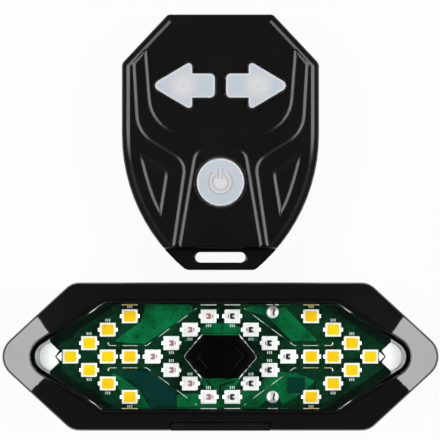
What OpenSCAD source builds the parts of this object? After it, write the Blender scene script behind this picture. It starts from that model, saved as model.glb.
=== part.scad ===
// Bicycle turn signal light with its wireless handlebar remote.
// Both lie on their backs with their fronts up: X runs along the light, Y from the light
// to the remote, Z from the table to the fronts. The origin is under the middle of the set.

/* [Set] */
// Free space between the light and the remote
set_gap = 2.7; // [1:0.1:20]

/* [Light outline] */
// Length of the light from tip to tip
light_len = 96; // [92:0.5:120]
// Height of the light across its long edges
light_h = 32.6; // [32:0.2:44]
// Length of a long edge between its sharp corners
light_flat = 65.4; // [64:0.2:70]
// Radius of the two pointed ends
light_tip_r = 5; // [4:0.1:7]
// Radius of the four blunt corners
light_corner_r = 4; // [3.5:0.1:8]

/* [Light housing] */
// Depth of the rear housing from its back to the parting plane
housing_depth = 11; // [10.4:0.1:18]
// Side wall of the rear housing
housing_wall = 3.2; // [3:0.1:3.4]
// Back wall of the rear housing
housing_floor = 2.4; // [2:0.1:3]
// Width of the bevel round the back
back_bevel_w = 1.6; // [0.6:0.1:1.8]
// Height of the bevel round the back
back_bevel_h = 2.4; // [1:0.1:2.6]
// Radius of a post under the circuit board
post_boss_r = 2; // [1.5:0.1:2.5]
// Distance of the board posts from the middle, along X
board_post_x = 31; // [28:0.5:32]
// Distance of the board posts from the middle, along Y
board_post_y = 5; // [3:0.5:6]
// Width of the seal groove in the parting plane
seal_w = 0.6; // [0.4:0.05:0.7]
// Depth of the seal groove
seal_d = 0.6; // [0.4:0.05:1]
// Distance of the seal groove from the outer face
seal_inset = 2.25; // [2.15:0.05:2.3]

/* [Housing screws] */
// Distance of the housing screws from the middle, along X
screw_x = 32; // [31.5:0.1:32.5]
// Distance of the housing screws from the middle, along Y
screw_y = 11.2; // [11:0.1:11.4]
// Radius of a screw's shank
screw_r = 1; // [0.8:0.05:1.05]
// Radius of a screw's head
screw_head_r = 1.9; // [1.6:0.05:2]
// Height of a screw's head
screw_head_h = 1.4; // [1:0.1:1.8]
// How deep a screw's head lies below the back
screw_sink = 0.4; // [0.2:0.1:0.8]
// How far a screw reaches into the bezel
screw_bite = 2.8; // [2:0.1:3]
// Radius of a boss round a screw
screw_boss_r = 2; // [1.8:0.05:2.2]

/* [Bezel and window] */
// Height of the bezel from the parting plane to the rim of the window
bezel_h = 5; // [4.6:0.1:7]
// Slope of the bezel's front faces, in degrees
bezel_slope = 25.6; // [20:0.2:28]
// Width of the bezel at the light's two tips
bezel_tip_w = 7.5; // [7:0.1:9]
// Height of the window
window_h = 23.2; // [22.4:0.1:23.4]
// Length of the window's long edge between its sharp corners
window_flat = 50.6; // [48:0.2:52]
// Radius of the window's two rounded ends
window_tip_r = 3.4; // [3:0.1:4]
// Radius of the window's four blunt corners
window_corner_r = 2.5; // [2:0.1:4]
// Width of the bevel round the window
window_rim_w = 1.1; // [0.6:0.1:1.3]
// Depth of the bevel round the window
window_rim_d = 1.5; // [0.8:0.1:1.8]

/* [Lens] */
// Width of the flange that lies behind the bezel
lens_flange_w = 1.2; // [0.9:0.05:1.4]
// Thickness of that flange
lens_flange_t = 1.2; // [0.8:0.1:1.4]
// Clearance between the lens and the bezel
lens_gap = 0.15; // [0.05:0.05:0.3]
// Width of the bevel round the lens
lens_bevel_w = 0.5; // [0.3:0.05:0.6]
// Depth of the bevel round the lens
lens_bevel_d = 0.5; // [0.3:0.05:0.8]
// How far the face of the lens lies below the rim of the window
lens_sink = 0.8; // [0.5:0.1:1]
// Height of the moulded arrow and hexagon panels
lens_panel_h = 0.4; // [0.2:0.05:0.45]
// Half width of the moulded arrow shafts
panel_shaft_y = 2.45; // [2:0.05:3]
// Distance of the arrow tip panels from the window's tips
panel_tip_inset = 4.4; // [3.9:0.1:6.5]
// Half length of the moulded hexagon
panel_hex_x = 16.2; // [15:0.1:17]
// Half length of the moulded hexagon's long edge
panel_hex_flat = 5.1; // [4.8:0.1:6]
// Half height of the moulded panels
panel_y = 10.8; // [10.4:0.05:10.85]
// Length of the moulded arrow heads along the arrow's axis
panel_head = 10.2; // [9.6:0.1:11]
// Width of the plain band along the window's slanted edges
panel_edge_w = 2.5; // [2.2:0.1:2.8]
// Half height of the arrows' blunter tips
panel_knee_y = 3.8; // [3.2:0.1:4.4]

/* [Mode button] */
// Length of the six-sided key
button_len = 15.2; // [14:0.1:15.6]
// Height of the six-sided key
button_h = 9; // [8:0.1:9.2]
// Length of the key's long edge
button_flat = 7.6; // [6.6:0.1:8]
// Corner radius of the key
button_corner_r = 0.5; // [0.3:0.1:0.8]
// How far the key stands above the moulded panels
button_rise = 0.4; // [0.1:0.1:1]
// Bevel round the top of the key
button_bevel = 0.7; // [0.3:0.1:1]
// Depth of the dished middle of the key
button_dish_d = 0.4; // [0.1:0.1:0.8]
// Width of the raised border round the dish
button_border = 1.9; // [1.6:0.1:2.2]
// Width of the key's hidden flange
button_flange_w = 0.6; // [0.4:0.05:0.65]
// Thickness of the key's hidden flange
button_flange_t = 0.6; // [0.4:0.05:0.7]
// Clearance round the keys
key_gap = 0.25; // [0.2:0.05:0.3]
// Clearance above the flange of a key
flange_gap = 0.1; // [0.05:0.05:0.15]

/* [Switches] */
// Travel of every key
key_travel = 0.6; // [0.3:0.05:0.6]
// Side of a switch body
switch_w = 4.6; // [4:0.1:5]
// Height of a switch body
switch_h = 1.6; // [1.5:0.1:1.7]
// Radius of a switch plunger
plunger_r = 1.4; // [1:0.05:1.6]
// Radial clearance of a plunger in its switch
plunger_gap = 0.1; // [0.05:0.01:0.1]
// How far a plunger stands above its switch
plunger_rise = 0.8; // [0.7:0.05:1]
// How far a plunger reaches into its switch
plunger_depth = 0.5; // [0.3:0.05:0.7]

/* [Light circuit board] */
// Thickness of the board
board_t = 1.6; // [1:0.1:1.8]
// How far the board's face lies below the parting plane
board_drop = 0.8; // [0.5:0.1:1]
// How far the board reaches past the window
board_margin = 1; // [0.8:0.05:1.1]
// Free height above the LEDs
lens_air = 1; // [0.8:0.1:1.2]
// Width of the rubber ring between lens and board
gasket_w = 0.8; // [0.5:0.05:0.8]
// Radius of a solder joint
joint_r = 1.1; // [0.8:0.1:1.4]
// Place of the solder joints, along X
joint_x = 11.5; // [11:0.1:13]
// Place of the upper solder joint, along Y
upper_joint_y = 9.8; // [9.4:0.1:10.4]
// Place of the lower solder joint, along Y
lower_joint_y = -8.9; // [-10.4:0.1:-8.6]

/* [LEDs] */
// Length of an LED package
led_len = 3.5; // [3:0.1:3.6]
// Width of an LED package
led_w = 2.8; // [2.2:0.1:2.8]
// Height of an LED package
led_h = 0.8; // [0.5:0.05:0.8]
// Length of the well in an LED package
led_well_len = 2.6; // [2:0.1:2.8]
// Width of the well in an LED package
led_well_w = 2; // [1.4:0.1:2.2]
// Depth of the well in an LED package
led_well_d = 0.4; // [0.2:0.05:0.45]
// Corner radius of the well in an LED package
led_well_r = 0.5; // [0.2:0.05:0.7]
// How far the amber fill lies below the rim of its well
led_fill_sink = 0.06; // [0.02:0.02:0.12]
// Side of a red die
die_w = 0.9; // [0.5:0.1:1.2]
// Height of a red die
die_h = 0.2; // [0.1:0.05:0.3]
// Length of an LED terminal
terminal_len = 0.4; // [0.2:0.05:0.5]
// Width of an LED terminal
terminal_w = 1.7; // [1:0.1:2.2]
// Height of an LED terminal
terminal_h = 0.3; // [0.1:0.05:0.4]
// Step between LEDs, along X
led_step_x = 4.1; // [4:0.05:4.2]
// Step between LEDs, along Y
led_step_y = 2.96; // [2.9:0.02:3]
// Step between the LEDs of an arrow's shaft
shaft_step_x = 4.85; // [4.5:0.05:5]
// Distance of an arrow's tip LED from the window's tip
arrow_tip_inset = 7.5; // [7.3:0.1:8.5]
// Distance of the ring's outer LEDs from the middle
ring_tip_x = 14.9; // [14.6:0.1:15.2]

/* [Tip reflectors] */
// Length of a white wedge at the window's end
reflector_len = 4.2; // [3:0.1:4.4]
// Half height of a wedge
reflector_y = 3; // [2:0.1:3]
// Half height of a wedge's blunt end
reflector_end_y = 1.3; // [0.8:0.1:1.4]
// Half width at the tip LED
reflector_nose_y = 0.7; // [0.5:0.1:1.2]
// Height of a wedge above the board
reflector_h = 1.6; // [1:0.1:1.7]
// Space between a wedge and the tip LED's terminal
reflector_gap = 0.15; // [0.05:0.05:0.3]
// Corner radius of a wedge
reflector_corner_r = 0.4; // [0.2:0.1:0.5]

/* [Light battery] */
// Length of the pouch cell
cell_len = 46; // [36:0.5:50]
// Width of the pouch cell
cell_w = 17; // [12:0.5:18]
// Thickness of the pouch cell
cell_t = 4.5; // [3:0.1:4.6]
// Corner radius of the pouch cell
cell_corner_r = 1.2; // [0.5:0.1:2]
// Place of the pouch cell, along Y
cell_y = 3.4; // [3:0.1:4]
// Thickness of the foam pad under the cell
pad_foam_t = 0.5; // [0.2:0.1:0.6]
// How far the foam pad stays inside the cell's outline
pad_foam_inset = 2; // [1:0.5:4]
// Diameter of a battery lead
lead_d = 0.8; // [0.5:0.05:0.8]

/* [Charging socket and cover] */
// Width of the charging socket
usb_w = 9; // [8.8:0.1:9.6]
// Height of the charging socket
usb_h = 3.2; // [3.1:0.1:3.6]
// Length of the charging socket
usb_len = 7.2; // [6:0.1:7.4]
// Wall of the socket's shell
usb_wall = 0.32; // [0.2:0.02:0.4]
// Clearance of the socket in the housing
usb_gap = 0.2; // [0.1:0.05:0.3]
// Thickness of the socket's tongue
usb_tongue_t = 0.7; // [0.5:0.05:0.8]
// Width of the rubber cover
cover_w = 22; // [16:0.2:26]
// Thickness of the rubber cover
cover_t = 1.8; // [1.5:0.05:1.8]
// Clearance round the rubber cover
cover_gap = 0.12; // [0.08:0.02:0.2]
// Radius of the cover's two hinge stubs
stub_r = 0.6; // [0.4:0.05:0.7]
// Length of a hinge stub
stub_len = 1; // [0.6:0.1:1.5]
// Radial clearance of a hinge stub
stub_gap = 0.08; // [0.04:0.01:0.1]
// Depth of the cover's plug in the socket
plug_d = 0.9; // [0.4:0.1:1]
// Thickness of the cover's plug
plug_t = 1.3; // [0.8:0.1:1.4]

/* [Seat post cradle] */
// Inner radius of the rubber lining, for a 27.2 mm post
post_r = 13.7; // [12.5:0.1:16]
// Half of the angle that the lining wraps
wrap_half = 62; // [60:1:66]
// Thickness of the rubber lining
pad_t = 1.2; // [0.8:0.1:2]
// How far the lining's edges stay above the table
pad_foot_gap = 0.3; // [0.1:0.1:0.6]
// Thickness of the cradle's crown
crown_t = 2.2; // [2:0.1:3.5]
// Length of the cradle along the post
cradle_l = 22; // [18:0.5:28]
// Width of a foot of the cradle
foot_w = 2; // [1.2:0.1:4]
// Length of a strap hook along the post
hook_l = 14; // [8:0.5:16]
// How far a strap hook stands out
hook_out = 3.4; // [2.5:0.1:5]
// Thickness of a strap hook
hook_t = 1.4; // [1:0.1:1.8]
// Height of a strap hook's lip
hook_lip = 4.5; // [3:0.1:5]
// Height of the strap hooks above the table
hook_z = 3; // [2:0.1:4]
// Distance of a cradle screw from the middle
cradle_screw_y = 6.5; // [5:0.5:8]
// Radius of a cradle screw's shank
cradle_screw_r = 1.2; // [0.8:0.1:1.3]
// Radius of a cradle screw's head
cradle_head_r = 2.2; // [1.8:0.1:2.5]
// Height of a cradle screw's head
cradle_head_h = 1; // [0.6:0.1:1.1]

/* [Remote outline] */
// Width of the remote
remote_w = 43.5; // [43:0.5:50]
// Length of the remote
remote_l = 56.4; // [55.5:0.2:60]
// Half length of the top edge
remote_top_x = 11.6; // [10:0.1:13]
// Height of the shoulders above the middle
shoulder_y = 17.4; // [16.8:0.1:18]
// Height above the middle where the sides begin to curve in
side_y = 1.7; // [1.6:0.1:2.5]
// Radius of the curved sides
side_r = 38.7; // [38:0.1:40]
// Radius of the two top corners
top_corner_r = 1.2; // [0.8:0.1:2]
// Radius of the shoulders
shoulder_r = 1.8; // [1:0.1:3]
// Radius of the two bottom corners
bottom_corner_r = 2; // [1:0.1:3]

/* [Remote covers] */
// Height of the parting plane of the covers
remote_part = 6; // [5.9:0.1:8]
// Height of the front cover above the parting plane
remote_rise = 6; // [5.9:0.1:8]
// Side wall of the covers
remote_wall = 2.2; // [2.1:0.1:2.4]
// Thickness of the front cover's face
remote_face_t = 1.6; // [1.5:0.1:2]
// Thickness of the rear cover's floor
remote_floor = 2; // [1.8:0.1:2.1]
// Width of the bevelled rim round the front
rim_w = 1.7; // [1:0.1:1.8]
// Height of the bevelled rim round the front
rim_h = 1.8; // [1:0.1:2.2]
// Bevel round the back
rear_bevel = 0.8; // [0.4:0.1:1.2]
// Height of the raised ribs on the front
rib_h = 0.8; // [0.3:0.1:1]
// Depth of the three-cornered recesses
recess_d = 0.7; // [0.3:0.1:0.8]
// Height of the strap tab above the parting plane
tab_rise = 2.6; // [2:0.1:3.5]
// Length of the strap tab
tab_l = 4.6; // [4.4:0.1:5.2]
// Length of the slope down to the strap tab
tab_slope = 1.8; // [1:0.1:2.4]
// Length of the strap slot
slot_l = 11.1; // [8:0.1:11.4]
// Width of the strap slot
slot_w = 2.3; // [1.8:0.1:2.4]
// Distance of the strap slot's middle from the bottom edge
slot_from_end = 2.8; // [2.6:0.1:2.9]
// Width of the seal groove in the remote
remote_seal_w = 0.7; // [0.4:0.05:0.8]
// Depth of the seal groove in the remote
remote_seal_d = 0.6; // [0.4:0.05:0.8]
// Distance of the remote's seal groove from its outer face
remote_seal_inset = 0.75; // [0.7:0.05:0.8]

/* [Remote keys] */
// Distance of the arrow tips from the middle
key_tip_x = 14.7; // [14:0.1:15]
// Distance of the arrow heads' backs from the middle
key_head_x = 6.35; // [5.8:0.05:7]
// Distance of the shafts' ends from the middle
key_shaft_x = 1.4; // [1.4:0.05:2]
// Half height of the arrow heads
key_head_y = 4.95; // [4.4:0.05:5.1]
// Half height of the arrow shafts
key_shaft_y = 2.65; // [2.2:0.05:2.9]
// Place of the arrow keys above the remote's middle
key_y = 12.5; // [12.2:0.1:12.8]
// Place of an arrow key's stem from the middle
key_stem_x = 8.3; // [7.8:0.1:9]
// How far the keys stand above the face
key_rise = 1.3; // [0.8:0.1:1.8]
// Rounded edge of the keys
key_edge = 0.45; // [0.2:0.05:0.6]
// Width of the keys' hidden flange
key_flange_w = 0.75; // [0.5:0.05:0.8]
// Thickness of the keys' hidden flange
key_flange_t = 0.7; // [0.5:0.05:0.75]
// Radius of the power key
power_r = 5.3; // [4.6:0.1:5.5]
// Place of the power key below the remote's middle
power_drop = 8.8; // [8.6:0.1:9.2]
// Radius of the raised ring on the power key
symbol_r = 2.2; // [1.6:0.1:2.8]
// Width of the raised lines on the power key
symbol_w = 0.55; // [0.3:0.05:0.7]
// Height of the raised lines on the power key
symbol_h = 0.15; // [0.1:0.05:0.3]
// Angle of the ring's gap
symbol_gap = 70; // [40:5:100]

/* [Remote inside] */
// Thickness of the remote's circuit board
remote_board_t = 1; // [0.8:0.1:1]
// Clearance between the board and the covers
board_gap = 0.3; // [0.2:0.05:0.4]
// How far the board's face lies above the parting plane
remote_board_up = 0.6; // [0.4:0.1:0.6]
// Height of the remote's switch bodies
remote_switch_h = 2; // [1.9:0.1:2.1]
// Place of the coin cell above the remote's middle
coin_y = 7; // [6.5:0.1:7.5]
// Radius of the coin cell
coin_r = 10; // [9.6:0.1:10]
// Thickness of the coin cell
coin_t = 3.2; // [2.5:0.1:3.2]
// Edge radius of the coin cell
coin_edge = 0.5; // [0.2:0.1:0.8]
// Clearance round the coin cell
coin_gap = 0.2; // [0.1:0.05:0.3]
// Wall of the ring round the coin cell
holder_wall = 1; // [0.6:0.1:1.2]
// Thickness of the cell's spring leaf
leaf_t = 0.2; // [0.1:0.05:0.25]
// Width of the cell's spring leaf
leaf_w = 4; // [2:0.5:6]
// Length of the cell's spring leaf
leaf_l = 12; // [8:0.5:14]
// Distance of the upper remote screws from the middle, along X
upper_screw_x = 17.4; // [17.2:0.1:17.5]
// Height of the upper remote screws above the middle
upper_screw_y = 4; // [3:0.1:4.2]
// Distance of the lower remote screws from the middle, along X
lower_screw_x = 12.6; // [12:0.1:12.8]
// Depth of the lower remote screws below the middle
lower_screw_y = 16; // [15.5:0.1:16.2]
// How far a remote screw reaches into the front cover
remote_screw_bite = 3.4; // [2:0.1:3.6]

/* [Battery door] */
// Radius of the battery door
door_r = 11.3; // [10.8:0.05:11.5]
// Clearance round the battery door
door_gap = 0.1; // [0.05:0.01:0.1]
// How far the door lies above the table
door_lift = 0.2; // [0.1:0.05:0.3]
// Thickness of the battery door
door_t = 1.6; // [1.4:0.05:1.6]
// Thickness of the ledge that holds the door's lugs
ledge_t = 1; // [0.9:0.05:1.1]
// How far the door's lugs stand out
lug_out = 0.9; // [0.6:0.05:1]
// Height of the door's lugs
lug_h = 0.5; // [0.3:0.05:0.6]
// Angle that one lug covers
lug_angle = 24; // [12:1:30]
// Angle that the door turns to unlock
door_turn = 40; // [34:1:60]
// Length of the coin slot in the door
coin_slot_l = 12; // [6:0.5:16]
// Width of the coin slot in the door
coin_slot_w = 1.8; // [1:0.1:2.4]
// Depth of the coin slot in the door
coin_slot_d = 0.8; // [0.4:0.05:0.9]
// Radius of the door seal's cord
door_cord_r = 0.22; // [0.15:0.01:0.25]

/* [Hidden] */
$fn = 64;

// How far a cutting body reaches past what it cuts
over = 1;
// Steps of a rounded corner, steps of the remote's curved side and the least corner radius
corner_steps = 8;
side_steps = 12;
least_r = 0.2;
// Clearance of a screw in its pilot hole and of a screw's head in its recess
pilot_gap = 0.05;
head_gap = 0.2;
// Free space beside the charging socket's tongue, before it and beside the cover's plug
tongue_side_gap = 1;
tongue_front_gap = 0.6;
plug_side_gap = 0.6;
// Free height of a battery lead above the pouch cell
lead_gap = 0.1;
// Play of a door lug in its keyway, in degrees to each side
lug_play = 2;

// Where the two units lie
set_l = light_h + set_gap + remote_l;
light_y = (light_h - set_l) / 2;
remote_y = (set_l - remote_l) / 2;

// Heights of the light's layers
post_z = pad_foot_gap - post_r * cos(wrap_half);
crown_z = post_z + post_r + pad_t;
back_z = crown_z + crown_t;
floor_z = back_z + housing_floor;
part_z = back_z + housing_depth;
rim_z = part_z + bezel_h;
side_z = rim_z - (light_h / 2 - window_h / 2 - window_rim_w) * tan(bezel_slope);
board_z = part_z - board_drop;
under_board_z = board_z - board_t;
lens_z = board_z + led_h + lens_air;
lens_flange_z = lens_z + lens_flange_t;
lens_top = rim_z - lens_sink;
panel_top = lens_top + lens_panel_h;
button_top = panel_top + button_rise;
button_flange_top = lens_z - flange_gap;
button_flange_z = button_flange_top - button_flange_t;
switch_top = board_z + switch_h;
plunger_top = switch_top + plunger_rise;

// Heights of the remote's layers
remote_top = remote_part + remote_rise;
remote_roof = remote_top - remote_face_t;
remote_board_z = remote_part + remote_board_up;
under_remote_board_z = remote_board_z - remote_board_t;
remote_switch_top = remote_board_z + remote_switch_h;
remote_plunger_top = remote_switch_top + plunger_rise;
key_flange_top = remote_roof - flange_gap;
key_flange_z = key_flange_top - key_flange_t;
key_top = remote_top + key_rise;
tab_z = remote_part + tab_rise;
door_top = door_lift + door_t;
coin_z = door_top + door_lift;
coin_top = coin_z + coin_t;

// Rubber cover of the charging socket: its hinge lies in the middle of its thickness
cover_y = -light_h / 2 + cover_t / 2;
cover_hinge_z = back_z + back_bevel_h + cover_t / 2 + stub_r;
cover_top = side_z;
usb_mouth_y = -light_h / 2 + cover_t + cover_gap + usb_gap;
usb_z = under_board_z - usb_h / 2;

// Outlines are [points, corner radii], counter-clockwise
function unit(v) = v / norm(v);
function around(list, i) = list[(i + len(list)) % len(list)];
function out_normal(a, b) = let (e = unit(b - a)) [e.y, -e.x];
function inset_points(pts, d) = [
    for (i = [0 : len(pts) - 1])
        let (
            n0 = out_normal(around(pts, i - 1), pts[i]),
            n1 = out_normal(pts[i], around(pts, i + 1)))
        pts[i] - d * (n0 + n1) / (1 + n0 * n1)];
function is_convex(pts, i) =
    let (a = pts[i] - around(pts, i - 1), b = around(pts, i + 1) - pts[i])
    a.x * b.y - a.y * b.x > 0;
function fillet(a, p, b, r) =
    let (
        u = unit(a - p),
        v = unit(b - p),
        half = acos(u * v) / 2,
        c = p + unit(u + v) * r / sin(half),
        s = p + u * r / tan(half) - c,
        e = p + v * r / tan(half) - c,
        start = atan2(s.y, s.x),
        turn = (atan2(e.y, e.x) - start + 540) % 360 - 180)
    [for (k = [0 : corner_steps])
        let (g = start + turn * k / corner_steps)
        c + r * [cos(g), sin(g)]];
function outline(shape, d = 0) =
    let (pts = inset_points(shape[0], d))
    [for (i = [0 : len(pts) - 1])
        let (
            r = shape[1][i],
            moved_r = max(least_r, is_convex(pts, i) ? r - d : r + d),
            corner = fillet(around(pts, i - 1), pts[i], around(pts, i + 1), moved_r))
        each (r == 0 ? [pts[i]] : corner)];

// A long hexagon whose rounded tips end at half_len
function tip_apex(half_len, corner, r) =
    let (
        dx = half_len - r - corner.x,
        slant = atan2(corner.y, dx) - asin(r / norm([dx, corner.y])))
    corner.x + corner.y / tan(slant);
function long_hex(half_len, corner, tip_r, corner_r) =
    let (a = tip_apex(half_len, corner, tip_r), x = corner.x, y = corner.y)
    [[[a, 0], [x, y], [-x, y], [-a, 0], [-x, -y], [x, -y]],
     [tip_r, corner_r, corner_r, tip_r, corner_r, corner_r]];
function plain_hex(half_len, corner, r) =
    let (x = corner.x, y = corner.y)
    [[[half_len, 0], [x, y], [-x, y], [-half_len, 0], [-x, -y], [x, -y]], [r, r, r, r, r, r]];
function rounded_box(w, h, r) =
    [[[w, h], [-w, h], [-w, -h], [w, -h]] / 2, [r, r, r, r]];
function mirrored(pts) = [for (i = [len(pts) - 1 : -1 : 0]) [-pts[i].x, pts[i].y]];
function both_sides(pts, radii) =
    [concat(pts, mirrored(pts)), concat(radii, [for (i = [len(radii) - 1 : -1 : 0]) radii[i]])];

window_len = light_len - 2 * bezel_tip_w;
light_shape = long_hex(light_len / 2, [light_flat, light_h] / 2, light_tip_r, light_corner_r);
window_shape = long_hex(window_len / 2, [window_flat, window_h] / 2, window_tip_r, window_corner_r);
button_shape = plain_hex(button_len / 2, [button_flat, button_h] / 2, button_corner_r);
button_dish_shape = [inset_points(button_shape[0], button_border), button_shape[1]];
led_well_shape = rounded_box(led_well_len, led_well_w, led_well_r);
cell_shape = rounded_box(cell_len, cell_w, cell_corner_r);

// Moulded panel of the lens: a hexagon in the middle that runs into an arrow on each side. The
// arrow's head lies round its LEDs, parallel to the window's slanted edge, with a blunter tip
panel_corner_r = 0.5;
panel_tip_x = window_len / 2 - panel_tip_inset;
window_slope = (window_shape[0][0].x - window_flat / 2) / (window_h / 2);
panel_apex_x = window_shape[0][0].x - panel_edge_w * norm([1, window_slope]);
panel_knee_x = panel_apex_x - panel_knee_y * window_slope;
panel_far_x = panel_apex_x - panel_y * window_slope;
panel_notch_x = panel_tip_x - panel_head;
panel_near_x = panel_notch_x - (panel_y - panel_shaft_y) * window_slope;
panel_quarter = [
    [panel_knee_x, panel_knee_y], [panel_far_x, panel_y], [panel_near_x, panel_y],
    [panel_notch_x, panel_shaft_y], [panel_hex_x, panel_shaft_y], [panel_hex_flat, panel_y]];
panel_upper = concat(panel_quarter, mirrored(panel_quarter));
panel_lower = [for (p = panel_upper) -p];
panel_points = concat([[panel_tip_x, 0]], panel_upper, [[-panel_tip_x, 0]], panel_lower);
panel_shape = [panel_points, [for (p = panel_points) panel_corner_r]];

// White wedge between the tip LED's terminal and the window's rounded end
arrow_tip_x = window_len / 2 - arrow_tip_inset;
led_reach = led_len / 2 + terminal_len;
reflector_x = arrow_tip_x + led_reach + reflector_gap;
reflector_shape = [
    [[reflector_x, -reflector_nose_y], [reflector_x + reflector_len / 2, -reflector_y],
     [reflector_x + reflector_len, -reflector_end_y], [reflector_x + reflector_len, reflector_end_y],
     [reflector_x + reflector_len / 2, reflector_y], [reflector_x, reflector_nose_y]],
    [for (i = [1 : 6]) reflector_corner_r]];

// Places of the LEDs. An arrow's shaft has as many as fit between its head and the ring
shaft_x = arrow_tip_x - 2 * led_step_x;
shaft_count = 1 + floor((shaft_x - ring_tip_x - 2 * led_reach) / shaft_step_x);
arrow_spots = [
    for (side = [-1, 1])
        each concat(
            [for (i = [0 : 2], up = i == 0 ? [0] : [-1, 1])
                [side * (arrow_tip_x - i * led_step_x), up * i * led_step_y]],
            [for (up = [-1, 1])
                [side * (shaft_x - shaft_step_x), up * 3 * led_step_y]],
            [for (i = [0 : 1 : shaft_count - 1])
                [side * (shaft_x - i * shaft_step_x), 0]])];
ring_spots = [
    for (side = [-1, 1], i = [0 : 3], up = i == 0 ? [0] : [-1, 1])
        [side * (ring_tip_x - i * led_step_x), up * i * led_step_y]];
corner_signs = [for (sx = [-1, 1], sy = [-1, 1]) [sx, sy]];
screw_spots = [for (s = corner_signs) [s.x * screw_x, s.y * screw_y]];
board_post_spots = [for (s = corner_signs) [s.x * board_post_x, s.y * board_post_y]];
joint_spots = [[joint_x, upper_joint_y], [joint_x, lower_joint_y]];

// Routes of the two battery leads, from the cell's end to the solder joints
lead_z = floor_z + pad_foam_t + cell_t + lead_d / 2 + lead_gap;
lead_end_x = cell_len / 2;
lead_mid_z = floor_z + pad_foam_t + cell_t / 2;
positive_route = [
    [lead_end_x, 6, lead_mid_z], [lead_end_x + 1.5, 6, lead_mid_z],
    [lead_end_x + 2.6, 6.6, lead_mid_z + 1], [lead_end_x + 2.2, 7.6, lead_z - 0.4],
    [lead_end_x + 0.5, 8.6, lead_z], [18, 9.4, lead_z],
    [joint_x + 1.5, upper_joint_y, lead_z], [joint_x, upper_joint_y, under_board_z - lead_d / 2]];
negative_route = [
    [lead_end_x, 1, lead_mid_z], [lead_end_x + 1.5, 1, lead_mid_z],
    [lead_end_x + 2.6, 0, lead_mid_z + 1], [lead_end_x + 2.2, -2, lead_z - 0.4],
    [lead_end_x + 0.5, -4.5, lead_z], [18, -8, lead_z],
    [joint_x + 1.5, lower_joint_y, lead_z], [joint_x, lower_joint_y, under_board_z - lead_d / 2]];

// Outline of the remote, from its bottom right corner upwards
side_x = remote_w / 2 - side_r;
side_end = -asin((remote_l / 2 + side_y) / side_r);
side_points = [
    for (k = [0 : side_steps])
        let (g = side_end * (1 - k / side_steps))
        [side_x + side_r * cos(g), side_y + side_r * sin(g)]];
remote_shape = both_sides(
    concat(side_points, [[remote_w / 2, shoulder_y], [remote_top_x, remote_l / 2]]),
    concat([bottom_corner_r], [for (k = [1 : side_steps]) 0], [shoulder_r, top_corner_r]));

// Raised ribs of the front: the space inside the outer line, less the key field and the power field
rib_leg_y = -remote_l / 2 + tab_l + tab_slope;
rib_outer = both_sides(
    [[10.1, rib_leg_y], [7.6, -4.35], [18.4, 2.35], [19.4, 17], [16.65, 20.2]],
    [0.3, 4, 7, 1, 1]);
key_field = both_sides([[15.2, 1.6], [16.65, 20.2], [16.65, remote_l / 2 + over]], [8.5, 0.5, 0.5]);
power_field = both_sides([[9.3, rib_leg_y - over], [5.5, -1.5]], [0.3, 2.6]);
recess_shape = [[[17.2, -2.7], [11.9, -6.1], [13, -15.5], [16.1, -7.4]], [0.5, 1, 0.4, 6]];

// Arrow key that points along +X
arrow_key_shape = [
    [[key_tip_x, 0], [key_head_x, key_head_y], [key_head_x, key_shaft_y],
     [key_shaft_x, key_shaft_y], [key_shaft_x, -key_shaft_y], [key_head_x, -key_shaft_y],
     [key_head_x, -key_head_y]],
    [1, 0.7, 0.4, 1, 1, 0.4, 0.7]];
remote_screw_spots = [
    for (s = [-1, 1])
        each [[s * upper_screw_x, upper_screw_y], [s * lower_screw_x, -lower_screw_y]]];
remote_switch_spots = [[-key_stem_x, key_y], [key_stem_x, key_y], [0, -power_drop]];

// Places a unit in the set
module at_light() {
    translate([0, light_y, 0]) children();
}

module at_remote() {
    translate([0, remote_y, 0]) children();
}

// Upright solid on an outline that is moved inwards by d
module prism(shape, d, z0, z1) {
    translate([0, 0, z0]) linear_extrude(z1 - z0) polygon(outline(shape, d));
}

// Closed band between two insets of an outline
module band(shape, d_out, d_in, z0, z1) {
    difference() {
        prism(shape, d_out, z0, z1);
        prism(shape, d_in, z0 - over, z1 + over);
    }
}

// Skin through [shape, inset, height] levels, from the lowest up
module loft(levels) {
    rings = [for (l = levels) [for (p = outline(l[0], l[1])) [p.x, p.y, l[2]]]];
    n = len(rings[0]);
    last = (len(rings) - 1) * n;
    sides = [
        for (k = [0 : len(rings) - 2], i = [0 : n - 1])
            let (a = k * n + i, d = k * n + (i + 1) % n, b = a + n, c = d + n)
            each [[a, b, c], [a, c, d]]];
    bottom = [for (i = [0 : n - 1]) i];
    top = [for (i = [n - 1 : -1 : 0]) last + i];
    polyhedron([for (r = rings) each r], concat([bottom], [top], sides));
}

// Round lead along a route, with 8 sides
module lead(route) {
    sides = 8;
    reference = [0.3, 0.4, 1];
    ends = len(route) - 1;
    rings = [
        for (i = [0 : ends])
            let (
                along = unit(route[min(i + 1, ends)] - route[max(i - 1, 0)]),
                u = unit(cross(along, reference)),
                v = cross(along, u))
            [for (k = [0 : sides - 1])
                let (g = -360 * k / sides)
                route[i] + lead_d / 2 * (u * cos(g) + v * sin(g))]];
    skin = [
        for (i = [0 : ends - 1], k = [0 : sides - 1])
            let (a = i * sides + k, d = i * sides + (k + 1) % sides, b = a + sides, c = d + sides)
            each [[a, c, b], [a, d, c]]];
    start_cap = [for (k = [sides - 1 : -1 : 0]) k];
    end_cap = [for (k = [0 : sides - 1]) ends * sides + k];
    polyhedron([for (r = rings) each r], concat([start_cap], [end_cap], skin));
}

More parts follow.
